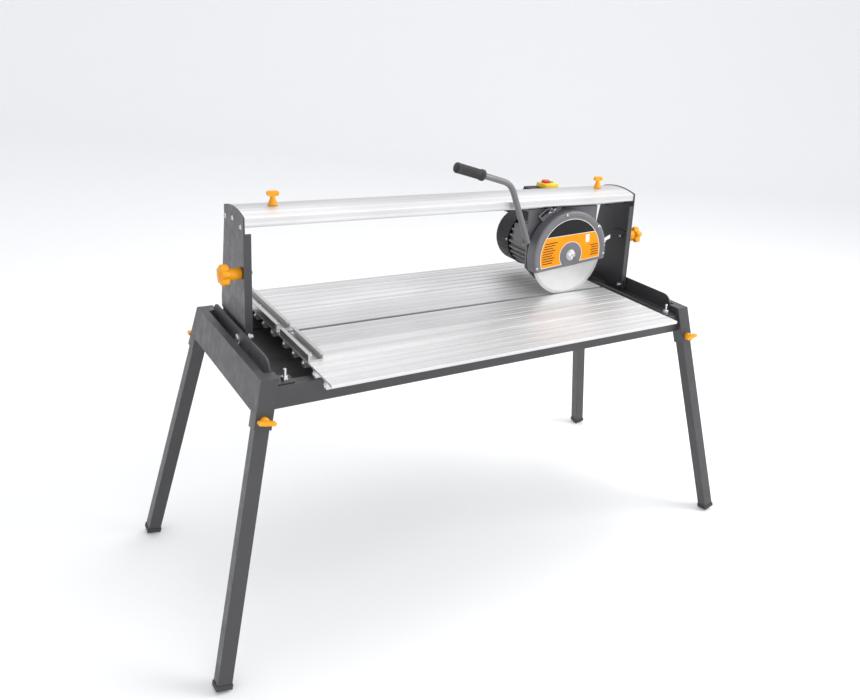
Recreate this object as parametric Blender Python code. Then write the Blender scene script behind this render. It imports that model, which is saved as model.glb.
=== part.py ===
"""Wet tile cutter with an overhead guide rail.

A stand with four sliding legs carries a water tray and a two-part ribbed table with a cutting slot
between the halves. Two posts tilt about the slot line and carry a guide rail. A carriage rolls along the
rail on four rollers, with the motor, the blade, its guard, the pull handle and the switch.

Frame: X along the rail, Y to the back, Z up. The origin is on the floor, below the middle of the slot.
All sizes are in metres.
"""

import math

import bmesh
import bpy
from mathutils import Matrix, Vector

# --- Driving dimensions ---------------------------------------------------------------------------
CUT_LENGTH = 0.620
BLADE_RADIUS = 0.100
BLADE_THICKNESS = 0.0022
TABLE_HEIGHT = 0.533
TABLE_DEPTH = 0.536
TABLE_END_GAP = 0.0965  # from each end of the table to the end of the frame
SLOT_WIDTH = 0.010
FRAME_DEPTH = 0.406
RAIL_WIDTH = 0.115
RAIL_CLEARANCE = 0.217  # table top to the underside of the rail's lips
SPINE_LENGTH = 0.286  # the carriage's part that runs inside the rail
BUFFER_LENGTH = 0.008
END_SPARE = 0.005  # free run behind each end of the cut
POST_ZONE = 0.0345  # from each end of the rail to the end of the frame
REST_SPARE = 0.026  # the blade rests this far short of the cut's right end

RAIL_LENGTH = CUT_LENGTH + SPINE_LENGTH + 2 * (BUFFER_LENGTH + END_SPARE)
FRAME_LENGTH = RAIL_LENGTH + 2 * POST_ZONE
TABLE_LENGTH = FRAME_LENGTH - 2 * TABLE_END_GAP

GAP = 0.0003  # between pieces that touch
RUNNING = 0.0004  # between pieces that turn or slide on each other
SHEET = 0.003  # pressed steel plate

# --- Stand ----------------------------------------------------------------------------------------
SPLAY_SIDE = math.radians(11.8)
SPLAY_FRONT = math.radians(8.7)
SOCKET_SIZE = 0.030
SOCKET_WALL = 0.0021
SOCKET_DROP = 0.087  # how far a socket reaches below the table top
LEG_WALL = 0.0015
LEG_INSERTED = 0.070
FOOT_HEIGHT = 0.009
FOOT_WALL = 0.001
FRAME_RAIL_HEIGHT = 0.0415
FRAME_RAIL_FLANGE = 0.024
FRAME_RAIL_SETBACK = 0.006  # front rail's face behind the sockets' face
END_RAIL_HEIGHT = 0.060
END_RAIL_FLANGE = 0.014
LEG_KNOB_DROP = 0.071  # leg knob's axis below the table top
LEG_SCREW_RADIUS = 0.003
LEG_WING_SPAN = 0.030
OVERSHOOT = 0.01  # how far a cutter runs past the metal that it cuts

# --- Table ----------------------------------------------------------------------------------------
PLATE = 0.004
TABLE_RIB_DROP = 0.018  # underside ribs and screw bosses, from the table top
BOSS_WIDTH = 0.010
GROOVE_PITCH = 0.0235
GROOVE_WIDTH = 0.0022
GROOVE_DEPTH = 0.0010
RULE_STRIP = 0.052  # smooth land next to the slot, without grooves
FENCE_WIDTH = 0.029
FENCE_HEIGHT = 0.0135
FENCE_WALL = 0.0028
FENCE_LIP = 0.0045
FENCE_CLEAR = 0.012  # from the slot's centre line to a fence
FENCE_FRONT_LENGTH = 0.148
TRAY_WALL = 0.0025
TRAY_DRAFT = 0.010
TRAY_TOP_CLEAR = 0.001
TRAY_SIDE_CLEAR = 0.004
PUMP_PLACE = (-0.305, 0.082)
PUMP_SIZE = (0.060, 0.044, 0.024)
PUMP_OUTLET_RADIUS = 0.005

# --- Tilting posts and their brackets -------------------------------------------------------------
TILT_MAX = math.radians(45)
PIVOT_BOLT_RADIUS = 0.004
BRACKET_INSET = 0.031  # bracket's ends from the frame's front and rear
BRACKET_RISE = 0.020
BRACKET_CLEAR = 0.0045  # from the post to the bracket's plate
BRACKET_CORNER = 0.026
BRACKET_FOOT = 0.021  # feet reach this far beyond the plate, over the long rails
BRACKET_FOOT_WIDTH = 0.026
BRACKET_LAP = 0.014  # feet overlap the bracket's floor by this much
BRACKET_BOLT_RADIUS = 0.007  # shoulder of the pivot bolt
ARM_TOP = 0.135
ARM_FRONT = -0.0095
ARM_BACK = 0.056
STAR_Y = 0.006
STAR_Z = 0.125
STAR_BOLT_RADIUS = 0.004
STAR_KNOB_RADIUS = 0.021
STAR_KNOB_DEPTH = 0.038  # neck and head
STAR_HEAD_DEPTH = 0.016
POST_FRONT = -0.0135
POST_BACK_BOTTOM = 0.138
POST_BOTTOM = 0.020
POST_FLANGE = 0.014
POST_FLANGE_LOW = 0.012
POST_FLANGE_TOP = 0.203
POST_HEEL = 0.0145  # radius of the post's foot round the pivot
POST_RIM = 0.0015  # the post's top stands proud of the rail's end

# --- Guide rail -----------------------------------------------------------------------------------
RAIL_FRONT = -0.011
RAIL_EDGE_HEIGHT = 0.0155
RAIL_CROWN = 0.0085
RAIL_WALL = 0.003
RAIL_LIP = 0.008
TRACK_INSET = 0.033  # track wall's outer face from the rail's edge
TRACK_DROP = 0.011  # tracks reach this far below the lips
TRACK_FOOT = 0.011
ROLLER_RADIUS = 0.009
ROLLER_WIDTH = 0.007
ROLLER_AXLE_RADIUS = 0.003
ROLLER_SPACING = 0.240
SPINE_WIDTH = 0.018
SPINE_TOP = 0.012  # above the lips' underside
LOCK_INSET = 0.070  # lock screws from the rail's ends
LOCK_SCREW_RADIUS = 0.003

# --- Carriage, motor and blade --------------------------------------------------------------------
BLADE_DIP = 0.003  # blade below the table top
CARRIAGE_LENGTH = 0.200
CARRIAGE_PLATE = 0.006
PLATE_CLEAR = 0.003  # from the tracks down to the carriage plate
CHEEK_FRONT = 0.024  # cheek plate's front face from the blade plane
CHEEK_THICK = 0.005
CHEEK_DROP = 0.062  # cheek's lower edge below the blade's centre
LAP = 0.002  # how far shapes that are joined run into each other
EAR_LOW = 0.132  # handle's ear, above the table top
EAR_HIGH = 0.170
EAR_REACH = 0.036
EAR_TAB = 0.0065
EAR_THICK = 0.0045
MOTOR_RADIUS = 0.060
FIN_HEIGHT = 0.006
FIN_COUNT = 28
MOTOR_LENGTH = 0.122
FAN_COVER_RADIUS = 0.0675
FAN_COVER_LENGTH = 0.060
FAN_COVER_WALL = 0.0022
FAN_RADIUS = 0.052
ROTOR_RADIUS = 0.033
AIR_GAP = 0.0006
SHAFT_RADIUS = 0.007
BEARING_RADIUS = 0.016
BEARING_WIDTH = 0.010
ARBOR_RADIUS = 0.010
FLANGE_RADIUS = 0.024
FLANGE_THICK = 0.004
NUT_FLATS = 0.019
NUT_THICK = 0.007
GUARD_RADIUS = 0.1055
GUARD_WALL = 0.0022
GUARD_FRONT = -0.015
GUARD_SPLIT = -0.004
GUARD_BACK = 0.014
GUARD_CHORD = 0.026  # lower edge below the blade's centre
GUARD_REST = math.radians(5.4)  # lower edge's slope at rest
GUARD_SWING = math.radians(12)
GUARD_SLOT_RADIUS = 0.1175
GUARD_STUD_ANGLE = math.radians(26)
GUARD_STUD_RADIUS = 0.0025
GUARD_HUB_RADIUS = 0.031
GUARD_HUB_WALL = 0.010
GUARD_EAR_WALL = 0.0038
GUARD_EAR_THICK = 0.0025
HANDLE_RADIUS = 0.0068
HANDLE_PLANE = -0.024
HANDLE_FOOT = (-0.134, 0.043)  # the handle's corners in (x, z) from the blade's centre
HANDLE_BEND = (-0.189, 0.179)
HANDLE_END = (-0.330, 0.2195)
GRIP_RADIUS = 0.0118
GRIP_LENGTH = 0.072
SWITCH_WIDTH = 0.078
SWITCH_DEPTH = 0.044
SWITCH_CLEAR = 0.0045  # behind the rail
SWITCH_LEFT = -0.034  # left end, from the blade's centre
SWITCH_BOX_HEIGHT = 0.0265
SWITCH_FRAME_LENGTH = 0.042
SWITCH_FRAME_HEIGHT = 0.0095
BUTTON_DEPTH = 0.0075
BUTTON_TRAVEL = 0.004

# --- Derived places -------------------------------------------------------------------------------
BLADE_X = CUT_LENGTH / 2 - REST_SPARE
BLADE_Z = TABLE_HEIGHT + BLADE_RADIUS - BLADE_DIP
RAIL_Z = TABLE_HEIGHT + RAIL_CLEARANCE
RAIL_MIDDLE = RAIL_FRONT + RAIL_WIDTH / 2
SUPPORT_Z = TABLE_HEIGHT - TABLE_RIB_DROP - GAP  # top of the frame's long rails
FRAME_BOTTOM = SUPPORT_Z - FRAME_RAIL_HEIGHT
LEG_SIZE = SOCKET_SIZE - 2 * (SOCKET_WALL + RUNNING)
POST_INSIDE = RAIL_LENGTH / 2 + GAP
POST_OUTSIDE = POST_INSIDE + SHEET
BRACKET_INSIDE = POST_OUTSIDE + BRACKET_CLEAR
PLATE_Z = RAIL_Z - TRACK_DROP - PLATE_CLEAR  # top of the carriage plate
CHEEK_BACK = CHEEK_FRONT + CHEEK_THICK
MOTOR_FRONT = CHEEK_BACK + GAP
MOTOR_BACK = MOTOR_FRONT + MOTOR_LENGTH
SIDES = {"left": -1, "right": 1}
ENDS = {"front": -1, "rear": 1}


# --- Shapes ---------------------------------------------------------------------------------------
def closed(shape):
    """Faces turned outwards on a closed shape."""
    shape.normal_update()
    bmesh.ops.recalc_face_normals(shape, faces=shape.faces)
    return shape


def lofted(rings):
    """A solid through rings of the same number of points, with its first and last ring filled."""
    shape = bmesh.new()
    rows = [[shape.verts.new(point) for point in ring] for ring in rings]
    for row, following in zip(rows, rows[1:]):
        for i, corner in enumerate(row):
            j = (i + 1) % len(row)
            shape.faces.new((corner, row[j], following[j], following[i]))
    shape.faces.new(rows[0])
    shape.faces.new(rows[-1])
    return closed(shape)


def along(axis, a, b, t):
    """The point with cross-section coordinates a, b at t along the axis."""
    return {"X": (t, a, b), "Y": (a, t, b), "Z": (a, b, t)}[axis]


def extruded(outline, axis, start, end):
    """A prism: the outline is (y, z) points for X, (x, z) for Y and (x, y) for Z."""
    return lofted([[along(axis, a, b, t) for a, b in outline] for t in (start, end)])


def block(low, high):
    (x0, y0, z0), (x1, y1, z1) = low, high
    return extruded([(x0, y0), (x1, y0), (x1, y1), (x0, y1)], "Z", z0, z1)


def circle(radius, steps, centre=(0, 0), start=0.0):
    turns = [start + math.tau * i / steps for i in range(steps)]
    return [(centre[0] + radius * math.cos(t), centre[1] + radius * math.sin(t)) for t in turns]


def arc(centre, radius, start, end, steps):
    """Points from angle start to angle end, both in degrees and both included."""
    turns = [math.radians(start + (end - start) * i / steps) for i in range(steps + 1)]
    return [(centre[0] + radius * math.cos(t), centre[1] + radius * math.sin(t)) for t in turns]


def turned(profile, steps=32):
    """A solid of revolution about Z from a closed profile of (radius, z); a radius of 0 is on the axis."""
    shape = bmesh.new()
    columns = []
    for radius, z in profile:
        if radius == 0:
            columns.append([shape.verts.new((0, 0, z))] * steps)
        else:
            columns.append([shape.verts.new((x, y, z)) for x, y in circle(radius, steps)])
    for column, following in zip(columns, columns[1:] + columns[:1]):
        if column[0] is column[1] and following[0] is following[1]:
            continue
        for i in range(steps):
            j = (i + 1) % steps
            corners = [column[i], column[j], following[j], following[i]]
            shape.faces.new(list(dict.fromkeys(corners)))
    return closed(shape)


def ring(inner, outer, low, high, steps=32):
    return turned([(inner, low), (outer, low), (outer, high), (inner, high)], steps)


def rod(radius, low, high, steps=16):
    return turned([(0, low), (radius, low), (radius, high), (0, high)], steps)


def aimed(direction, origin, roll=0.0):
    """The matrix that takes +Z to a direction and the world's origin to a point."""
    turn = Vector(direction).to_track_quat("Z", "Y").to_matrix().to_4x4()
    return Matrix.Translation(origin) @ turn @ Matrix.Rotation(roll, 4, "Z")


def moved(shape, matrix):
    shape.transform(matrix)
    return closed(shape)


def together(*shapes):
    """Shapes that don't touch, as one cutter."""
    whole = bmesh.new()
    for shape in shapes:
        piece = bpy.data.meshes.new("piece")
        shape.to_mesh(piece)
        whole.from_mesh(piece)
        bpy.data.meshes.remove(piece)
        shape.free()
    return whole


def swept(points, radius, sides=14):
    """A round bar along a path in a plane of constant Y, with its joints mitred."""
    path = [Vector(point) for point in points]
    rings = []
    for i, point in enumerate(path):
        before = (point - path[i - 1]).normalized() if i else (path[1] - point).normalized()
        after = (path[i + 1] - point).normalized() if i + 1 < len(path) else before
        tangent = (before + after).normalized()
        across = tangent.cross(Vector((0, 1, 0)))
        stretch = 1 / tangent.dot(before)
        rings.append([
            point + across * (stretch * a) + Vector((0, b, 0)) for a, b in circle(radius, sides)
        ])
    return lofted(rings)


def rounded_box(low, high, radius, axis="Z", steps=3):
    """A box whose four edges along the axis are rounded."""
    order = {"X": (1, 2, 0), "Y": (0, 2, 1), "Z": (0, 1, 2)}[axis]
    (a0, b0, t0), (a1, b1, t1) = ([corner[i] for i in order] for corner in (low, high))
    outline = (
        arc((a1 - radius, b1 - radius), radius, 0, 90, steps)
        + arc((a0 + radius, b1 - radius), radius, 90, 180, steps)
        + arc((a0 + radius, b0 + radius), radius, 180, 270, steps)
        + arc((a1 - radius, b0 + radius), radius, 270, 360, steps)
    )
    return extruded(outline, axis, t0, t1)


# --- Objects --------------------------------------------------------------------------------------
def clear_scene():
    for obj in list(bpy.data.objects):
        bpy.data.objects.remove(obj, do_unlink=True)


def finish_of(name, color, roughness, metallic=0.0):
    material = bpy.data.materials.new(name)
    material.use_nodes = True
    shader = material.node_tree.nodes["Principled BSDF"]
    shader.inputs["Base Color"].default_value = (*color, 1)
    shader.inputs["Roughness"].default_value = roughness
    shader.inputs["Metallic"].default_value = metallic
    material.diffuse_color = (*color, 1)
    return material


def body_empty(name, origin, parent=None):
    """An empty on a joint's axis, which the pieces of one moving body hang from."""
    empty = bpy.data.objects.new(name, None)
    empty.empty_display_size = 0.05
    bpy.context.scene.collection.objects.link(empty)
    empty["origin"] = origin
    hang(empty, origin, parent)
    return empty


def hang(obj, origin, parent):
    """Places an object's origin in the world and parents it without moving it."""
    obj.location = origin
    if parent:
        obj.parent = parent
        obj.matrix_parent_inverse = Matrix.Translation(-Vector(parent["origin"]))


def piece(name, shape, finish, parent=None, origin=(0, 0, 0), smooth=True):
    """A named object from a shape in world coordinates."""
    mesh = bpy.data.meshes.new(name)
    shape.transform(Matrix.Translation(-Vector(origin)))
    shape.to_mesh(mesh)
    shape.free()
    mesh.materials.append(finish)
    if smooth:
        mesh.shade_smooth()
        mesh.set_sharp_from_angle(angle=math.radians(35))
    obj = bpy.data.objects.new(name, mesh)
    bpy.context.scene.collection.objects.link(obj)
    hang(obj, origin, parent)
    return obj


def change(obj, operation, shape):
    """A Boolean on an object, from a hidden helper shape in world coordinates."""
    number = len(obj.modifiers) + 1
    name = f"{operation.lower()}_{number}"
    helper = piece(f"{obj.name}_{name}", shape, obj.data.materials[0], smooth=False)
    helper.hide_render = True
    helper.display_type = "WIRE"
    helper.parent = obj.parent
    helper.matrix_parent_inverse = obj.matrix_parent_inverse
    boolean = obj.modifiers.new(name, "BOOLEAN")
    boolean.operation = operation
    boolean.solver = "EXACT"
    boolean.object = helper
    return obj


def cut(obj, *shapes):
    return change(obj, "DIFFERENCE", together(*shapes))


def join(obj, *shapes):
    for shape in shapes:
        change(obj, "UNION", shape)
    return obj


# --- Stand ----------------------------------------------------------------------------------------
def leg_frame(side, end):
    """Top of a leg's axis, its downward direction and the matrix of its square section."""
    down = Vector((side * math.tan(SPLAY_SIDE), end * math.tan(SPLAY_FRONT), -1)).normalized()
    top = Vector((
        side * (FRAME_LENGTH / 2 - SOCKET_SIZE / 2 / math.cos(SPLAY_SIDE)),
        end * (FRAME_DEPTH / 2 - SOCKET_SIZE / 2 / math.cos(SPLAY_FRONT)),
        TABLE_HEIGHT,
    ))
    across = (Vector((1, 0, 0)) - down * down.x).normalized()
    forward = (-down).cross(across)
    turn = Matrix((across, forward, -down)).transposed().to_4x4()
    return top, down, Matrix.Translation(top) @ turn


def leg_bar(side, end, size, start, finish):
    """A square bar on a leg's axis, between two distances down from the table's height."""
    half = size / 2
    bar = block((-half, -half, -finish), (half, half, -start))
    return moved(bar, leg_frame(side, end)[2])


def down_leg(drop):
    """Distance along a leg for a drop in height."""
    return drop / -leg_frame(1, 1)[1].z


def clipped_above(shape, height):
    """Cuts a shape off at a height and fills the cut."""
    result = bmesh.ops.bisect_plane(
        shape,
        geom=shape.verts[:] + shape.edges[:] + shape.faces[:],
        plane_co=(0, 0, height),
        plane_no=(0, 0, 1),
        clear_outer=True,
    )
    rim = [edge for edge in result["geom_cut"] if isinstance(edge, bmesh.types.BMEdge)]
    bmesh.ops.edgeloop_fill(shape, edges=rim)
    return closed(shape)


def leg_end():
    """Distance down a leg's axis at which the foot's inner corner meets the floor."""
    matrix = leg_frame(1, 1)[2]
    half = LEG_SIZE / 2 + GAP + FOOT_WALL
    corner = matrix.to_3x3() @ Vector((-half, -half, 0))
    return down_leg(TABLE_HEIGHT + corner.z)


def make_end_frames(paint):
    """Each end of the frame: a leaning channel between two splayed sockets."""
    lean = math.tan(SPLAY_SIDE)
    reach = FRAME_DEPTH / 2 - SOCKET_SIZE / 2
    top = TABLE_HEIGHT
    bottom = TABLE_HEIGHT - END_RAIL_HEIGHT
    for side_name, side in SIDES.items():
        outer = FRAME_LENGTH / 2
        section = [
            (outer, top),
            (outer + lean * END_RAIL_HEIGHT, bottom),
            (outer + lean * END_RAIL_HEIGHT - END_RAIL_FLANGE, bottom),
            (outer + lean * END_RAIL_HEIGHT - END_RAIL_FLANGE, bottom + SHEET),
            (outer + lean * (END_RAIL_HEIGHT - SHEET) - SHEET, bottom + SHEET),
            (outer + lean * SHEET - SHEET, top - SHEET),
            (outer - END_RAIL_FLANGE, top - SHEET),
            (outer - END_RAIL_FLANGE, top),
        ]
        channel = extruded([(side * x, z) for x, z in section], "Y", -reach, reach)
        frame = piece(f"frame_end_{side_name}", channel, paint)
        for end in ENDS.values():
            socket = leg_bar(side, end, SOCKET_SIZE, -2 * OVERSHOOT, down_leg(SOCKET_DROP))
            join(frame, clipped_above(socket, TABLE_HEIGHT))
        inside = SOCKET_SIZE - 2 * SOCKET_WALL
        ceiling = leg_top() - 2 * RUNNING
        bores = [
            leg_bar(side, end, inside, ceiling, down_leg(SOCKET_DROP) + OVERSHOOT) for end in ENDS.values()
        ]
        bore_radius = LEG_SCREW_RADIUS + RUNNING
        screws = [knob_rod(side, end, bore_radius, -SOCKET_SIZE / 2, OVERSHOOT) for end in ENDS.values()]
        cut(frame, *bores)
        cut(frame, *screws)


def leg_top():
    """Distance down the axis to a leg's upper end, inside its socket."""
    return down_leg(SOCKET_DROP) - LEG_INSERTED


def knob_matrix(side, end):
    """The frame of a leg's clamp screw: +Z points out of the socket's front or rear face."""
    matrix = leg_frame(side, end)[2]
    turn = matrix.to_3x3()
    out = turn @ Vector((0, end, 0))
    start = matrix @ Vector((0, end * (SOCKET_SIZE / 2 + GAP), -down_leg(LEG_KNOB_DROP)))
    across = turn @ Vector((1, 0, 0))
    upward = out.cross(across)
    return Matrix.Translation(start) @ Matrix((across, upward, out)).transposed().to_4x4()


def knob_rod(side, end, radius, low, high):
    return moved(rod(radius, low, high, 12), knob_matrix(side, end))


def make_long_rails(paint):
    """Front and rear channels between the sockets, which carry the table and the brackets."""
    reach = FRAME_LENGTH / 2 - SOCKET_SIZE / 2
    for end_name, end in ENDS.items():
        face = FRAME_DEPTH / 2 - FRAME_RAIL_SETBACK
        section = [
            (face, SUPPORT_Z),
            (face, FRAME_BOTTOM),
            (face - FRAME_RAIL_FLANGE, FRAME_BOTTOM),
            (face - FRAME_RAIL_FLANGE, FRAME_BOTTOM + SHEET),
            (face - SHEET, FRAME_BOTTOM + SHEET),
            (face - SHEET, SUPPORT_Z - SHEET),
            (face - FRAME_RAIL_FLANGE, SUPPORT_Z - SHEET),
            (face - FRAME_RAIL_FLANGE, SUPPORT_Z),
        ]
        rail = extruded([(end * y, z) for y, z in section], "X", -reach, reach)
        rail = piece(f"frame_rail_{end_name}", rail, paint)
        sockets = [
            leg_bar(side, end, SOCKET_SIZE + 2 * GAP, -2 * OVERSHOOT, down_leg(SOCKET_DROP) + OVERSHOOT)
            for side in SIDES.values()
        ]
        cut(rail, *sockets)


def make_legs(paint, rubber, plastic):
    finish = leg_end()
    for side_name, side in SIDES.items():
        for end_name, end in ENDS.items():
            corner = f"{end_name}_{side_name}"
            origin = leg_frame(side, end)[0]
            leg_body = body_empty(f"leg_body_{corner}", origin)
            tube_end = finish - FOOT_WALL - GAP
            leg = leg_bar(side, end, LEG_SIZE, leg_top(), tube_end)
            leg = piece(f"leg_{corner}", leg, paint, leg_body, origin)
            hollow = LEG_SIZE - 2 * LEG_WALL
            cut(leg, leg_bar(side, end, hollow, leg_top() - OVERSHOOT, tube_end + OVERSHOOT))
            foot_top = finish - FOOT_HEIGHT
            foot = leg_bar(side, end, LEG_SIZE + 2 * (GAP + FOOT_WALL), foot_top, finish)
            foot = piece(f"foot_{corner}", foot, rubber, leg_body, origin)
            cut(foot, leg_bar(side, end, LEG_SIZE + 2 * GAP, foot_top - OVERSHOOT, tube_end + GAP))
            make_leg_knob(corner, side, end, plastic)


def make_leg_knob(corner, side, end, plastic):
    """A wing screw that clamps a leg in its socket."""
    matrix = knob_matrix(side, end)
    screw_length = SOCKET_WALL + GAP
    collar, neck = 0.0075, 0.005
    wing_low, wing_high = 0.010, 0.020
    half_thick = 0.0035
    stem = [
        (0, -screw_length), (LEG_SCREW_RADIUS, -screw_length), (LEG_SCREW_RADIUS, 0), (collar, 0),
        (collar, 0.008), (neck, 0.011), (neck, 0.016), (0, 0.016),
    ]
    origin = matrix.to_translation()
    knob = piece(f"leg_knob_{corner}", moved(turned(stem, 16), matrix), plastic, None, origin)
    half_span = LEG_WING_SPAN / 2
    wing = rounded_box((-half_span, -half_thick, wing_low), (half_span, half_thick, wing_high), 0.003)
    join(knob, moved(wing, matrix))


def make_tray(plastic):
    """The water tray, which sits in the channels of the long rails, and the pump that stands in it."""
    top = SUPPORT_Z - SHEET - TRAY_TOP_CLEAR
    bottom = FRAME_BOTTOM + SHEET + GAP
    half_x = RAIL_LENGTH / 2
    half_y = FRAME_DEPTH / 2 - FRAME_RAIL_SETBACK - SHEET - TRAY_SIDE_CLEAR

    def rectangle(inset, z):
        x = half_x - inset
        y = half_y - inset
        return [(-x, -y, z), (x, -y, z), (x, y, z), (-x, y, z)]

    tray = lofted([
        rectangle(TRAY_DRAFT, bottom),
        rectangle(0, top),
        rectangle(TRAY_WALL, top),
        rectangle(TRAY_DRAFT + TRAY_WALL, bottom + TRAY_WALL),
    ])
    piece("water_tray", tray, plastic, smooth=False)
    floor = bottom + TRAY_WALL + GAP
    (pump_x, pump_y), (length, width, height) = PUMP_PLACE, PUMP_SIZE
    low = (pump_x - length / 2, pump_y - width / 2, floor)
    high = (pump_x + length / 2, pump_y + width / 2, floor + height)
    pump = piece("water_pump", rounded_box(low, high, 0.008), plastic)
    outlet_foot = (pump_x + length / 2 - PUMP_OUTLET_RADIUS, pump_y, floor + 0.6 * height)
    join(pump, moved(rod(PUMP_OUTLET_RADIUS, 0, 0.020, 16), aimed((1, 0, 0), outlet_foot)))


# --- Table ----------------------------------------------------------------------------------------
def table_section(end):
    """A table half's outline in (y, z): grooved top, ribs and screw bosses below."""
    inner = SLOT_WIDTH / 2
    outer = TABLE_DEPTH / 2
    top = TABLE_HEIGHT
    points = [(inner, top - PLATE), (inner, top)]
    y = inner + RULE_STRIP
    while y < outer - GROOVE_PITCH / 2:
        points += [
            (y, top),
            (y, top - GROOVE_DEPTH),
            (y + GROOVE_WIDTH, top - GROOVE_DEPTH),
            (y + GROOVE_WIDTH, top),
        ]
        y += GROOVE_PITCH
    points += [(outer, top), (outer, top - 1.5 * PLATE)]
    bosses = 5
    span = outer - 2 * GROOVE_PITCH - inner - BOSS_WIDTH
    for i in range(bosses):
        boss = outer - GROOVE_PITCH - span * i / (bosses - 1)
        points += [
            (boss, top - PLATE),
            (boss, top - TABLE_RIB_DROP),
            (boss - BOSS_WIDTH, top - TABLE_RIB_DROP),
            (boss - BOSS_WIDTH, top - PLATE),
        ]
    return [(end * y, z) for y, z in points]


def make_table(metal):
    for end_name, end in ENDS.items():
        half = extruded(table_section(end), "X", -TABLE_LENGTH / 2, TABLE_LENGTH / 2)
        piece(f"table_{end_name}", half, metal, smooth=False)


def make_fences(metal):
    """Open channels along the table's left end, which the tile is pushed against."""
    wall, lip, height = FENCE_WALL, FENCE_LIP, FENCE_HEIGHT
    low = TABLE_HEIGHT + GAP
    left = -TABLE_LENGTH / 2
    section = [
        (0, 0), (FENCE_WIDTH, 0), (FENCE_WIDTH, height), (FENCE_WIDTH - wall - lip, height),
        (FENCE_WIDTH - wall - lip, height - wall), (FENCE_WIDTH - wall, height - wall),
        (FENCE_WIDTH - wall, wall), (wall, wall), (wall, height - wall),
        (wall + lip, height - wall), (wall + lip, height), (0, height),
    ]
    outline = [(left + x, low + z) for x, z in section]
    front = extruded(outline, "Y", -FENCE_CLEAR - FENCE_FRONT_LENGTH, -FENCE_CLEAR)
    rear = extruded(outline, "Y", FENCE_CLEAR, TABLE_DEPTH / 2)
    piece("fence_front", front, metal, smooth=False)
    piece("fence_rear", rear, metal, smooth=False)


# --- Tilting posts --------------------------------------------------------------------------------
def make_brackets(paint):
    """Fixed end brackets: an outer plate, an arm on the other side of the post, and feet on the rails."""
    half = FRAME_DEPTH / 2 - BRACKET_INSET
    low = SUPPORT_Z + GAP
    floor = low + SHEET
    top = TABLE_HEIGHT + BRACKET_RISE
    radius = BRACKET_CORNER
    outline = (
        [(-half, low), (half, low)]
        + arc((half - radius, top - radius), radius, 0, 90, 6)
        + arc((-half + radius, top - radius), radius, 90, 180, 6)
    )
    arm_top = TABLE_HEIGHT + ARM_TOP
    back_corner, front_corner = 0.012, 0.006
    arm_outline = (
        [(ARM_FRONT, low), (ARM_BACK, low)]
        + arc((ARM_BACK - back_corner, arm_top - back_corner), back_corner, 0, 90, 4)
        + arc((ARM_FRONT + front_corner, arm_top - front_corner), front_corner, 90, 180, 3)
    )
    arm_out = POST_INSIDE - RUNNING
    for side_name, side in SIDES.items():
        inside = side * BRACKET_INSIDE
        plate = extruded(outline, "X", inside, inside + side * SHEET)
        bracket = piece(f"end_bracket_{side_name}", plate, paint)
        arm_low = side * (arm_out - SHEET)
        x0, x1 = sorted((arm_low, inside + side * 0.001))
        join(bracket, block((x0, -half, low), (x1, half, floor)))
        join(bracket, extruded(arm_outline, "X", arm_low, side * arm_out))
        for end in ENDS.values():
            y0, y1 = sorted((end * (half - BRACKET_LAP), end * (half + BRACKET_FOOT)))
            foot_x0, foot_x1 = sorted((side * (arm_out - BRACKET_FOOT_WIDTH), side * (arm_out + 0.004)))
            join(bracket, block((foot_x0, y0, low), (foot_x1, y1, floor)))
            stud_x = side * (arm_out - BRACKET_FOOT_WIDTH / 2)
            stud = Matrix.Translation((stud_x, end * (half + 0.008), low + 0.001))
            join(bracket, moved(rod(0.003, 0, 0.022, 12), stud))
            join(bracket, moved(rod(0.006, 0, 0.007, 6), stud))
        pivot = aimed((1, 0, 0), (0, 0, TABLE_HEIGHT))
        bolt_hole = moved(rod(PIVOT_BOLT_RADIUS + RUNNING, -RAIL_LENGTH, RAIL_LENGTH, 16), pivot)
        shoulder_ends = sorted((inside - side * SHEET, inside + 2 * side * SHEET))
        shoulder = moved(rod(BRACKET_BOLT_RADIUS + RUNNING, *shoulder_ends, 16), pivot)
        star = aimed((1, 0, 0), (0, STAR_Y, TABLE_HEIGHT + STAR_Z))
        star_hole = moved(rod(STAR_BOLT_RADIUS + RUNNING, -RAIL_LENGTH, RAIL_LENGTH, 16), star)
        cut(bracket, shoulder)
        cut(bracket, bolt_hole)
        cut(bracket, star_hole)


def rail_arch(y):
    """Height of the rail's outer skin above the lips, at a distance from its front edge."""
    return RAIL_EDGE_HEIGHT + RAIL_CROWN * (1 - (2 * y / RAIL_WIDTH - 1) ** 2)


def post_outline():
    """The post's web in (y, z): a heel round the pivot, a slanted back edge and an arched top."""
    rim = POST_RIM
    base = TABLE_HEIGHT
    steps = 10
    shares = [i / steps for i in range(steps + 1)]
    crown = [
        (RAIL_FRONT - rim + (RAIL_WIDTH + 2 * rim) * share, RAIL_Z + rim + rail_arch(RAIL_WIDTH * share))
        for share in shares
    ]
    back = RAIL_FRONT + RAIL_WIDTH + rim
    heel = arc((0, base), POST_HEEL, 200, 300, 6)
    return (
        heel
        + [(POST_BACK_BOTTOM, base + POST_BOTTOM), (POST_BACK_BOTTOM, base + POST_BOTTOM + 0.02)]
        + [(back, RAIL_Z - 0.006)]
        + crown[::-1]
        + [(POST_FRONT, RAIL_Z - 0.004)]
    )


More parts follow.
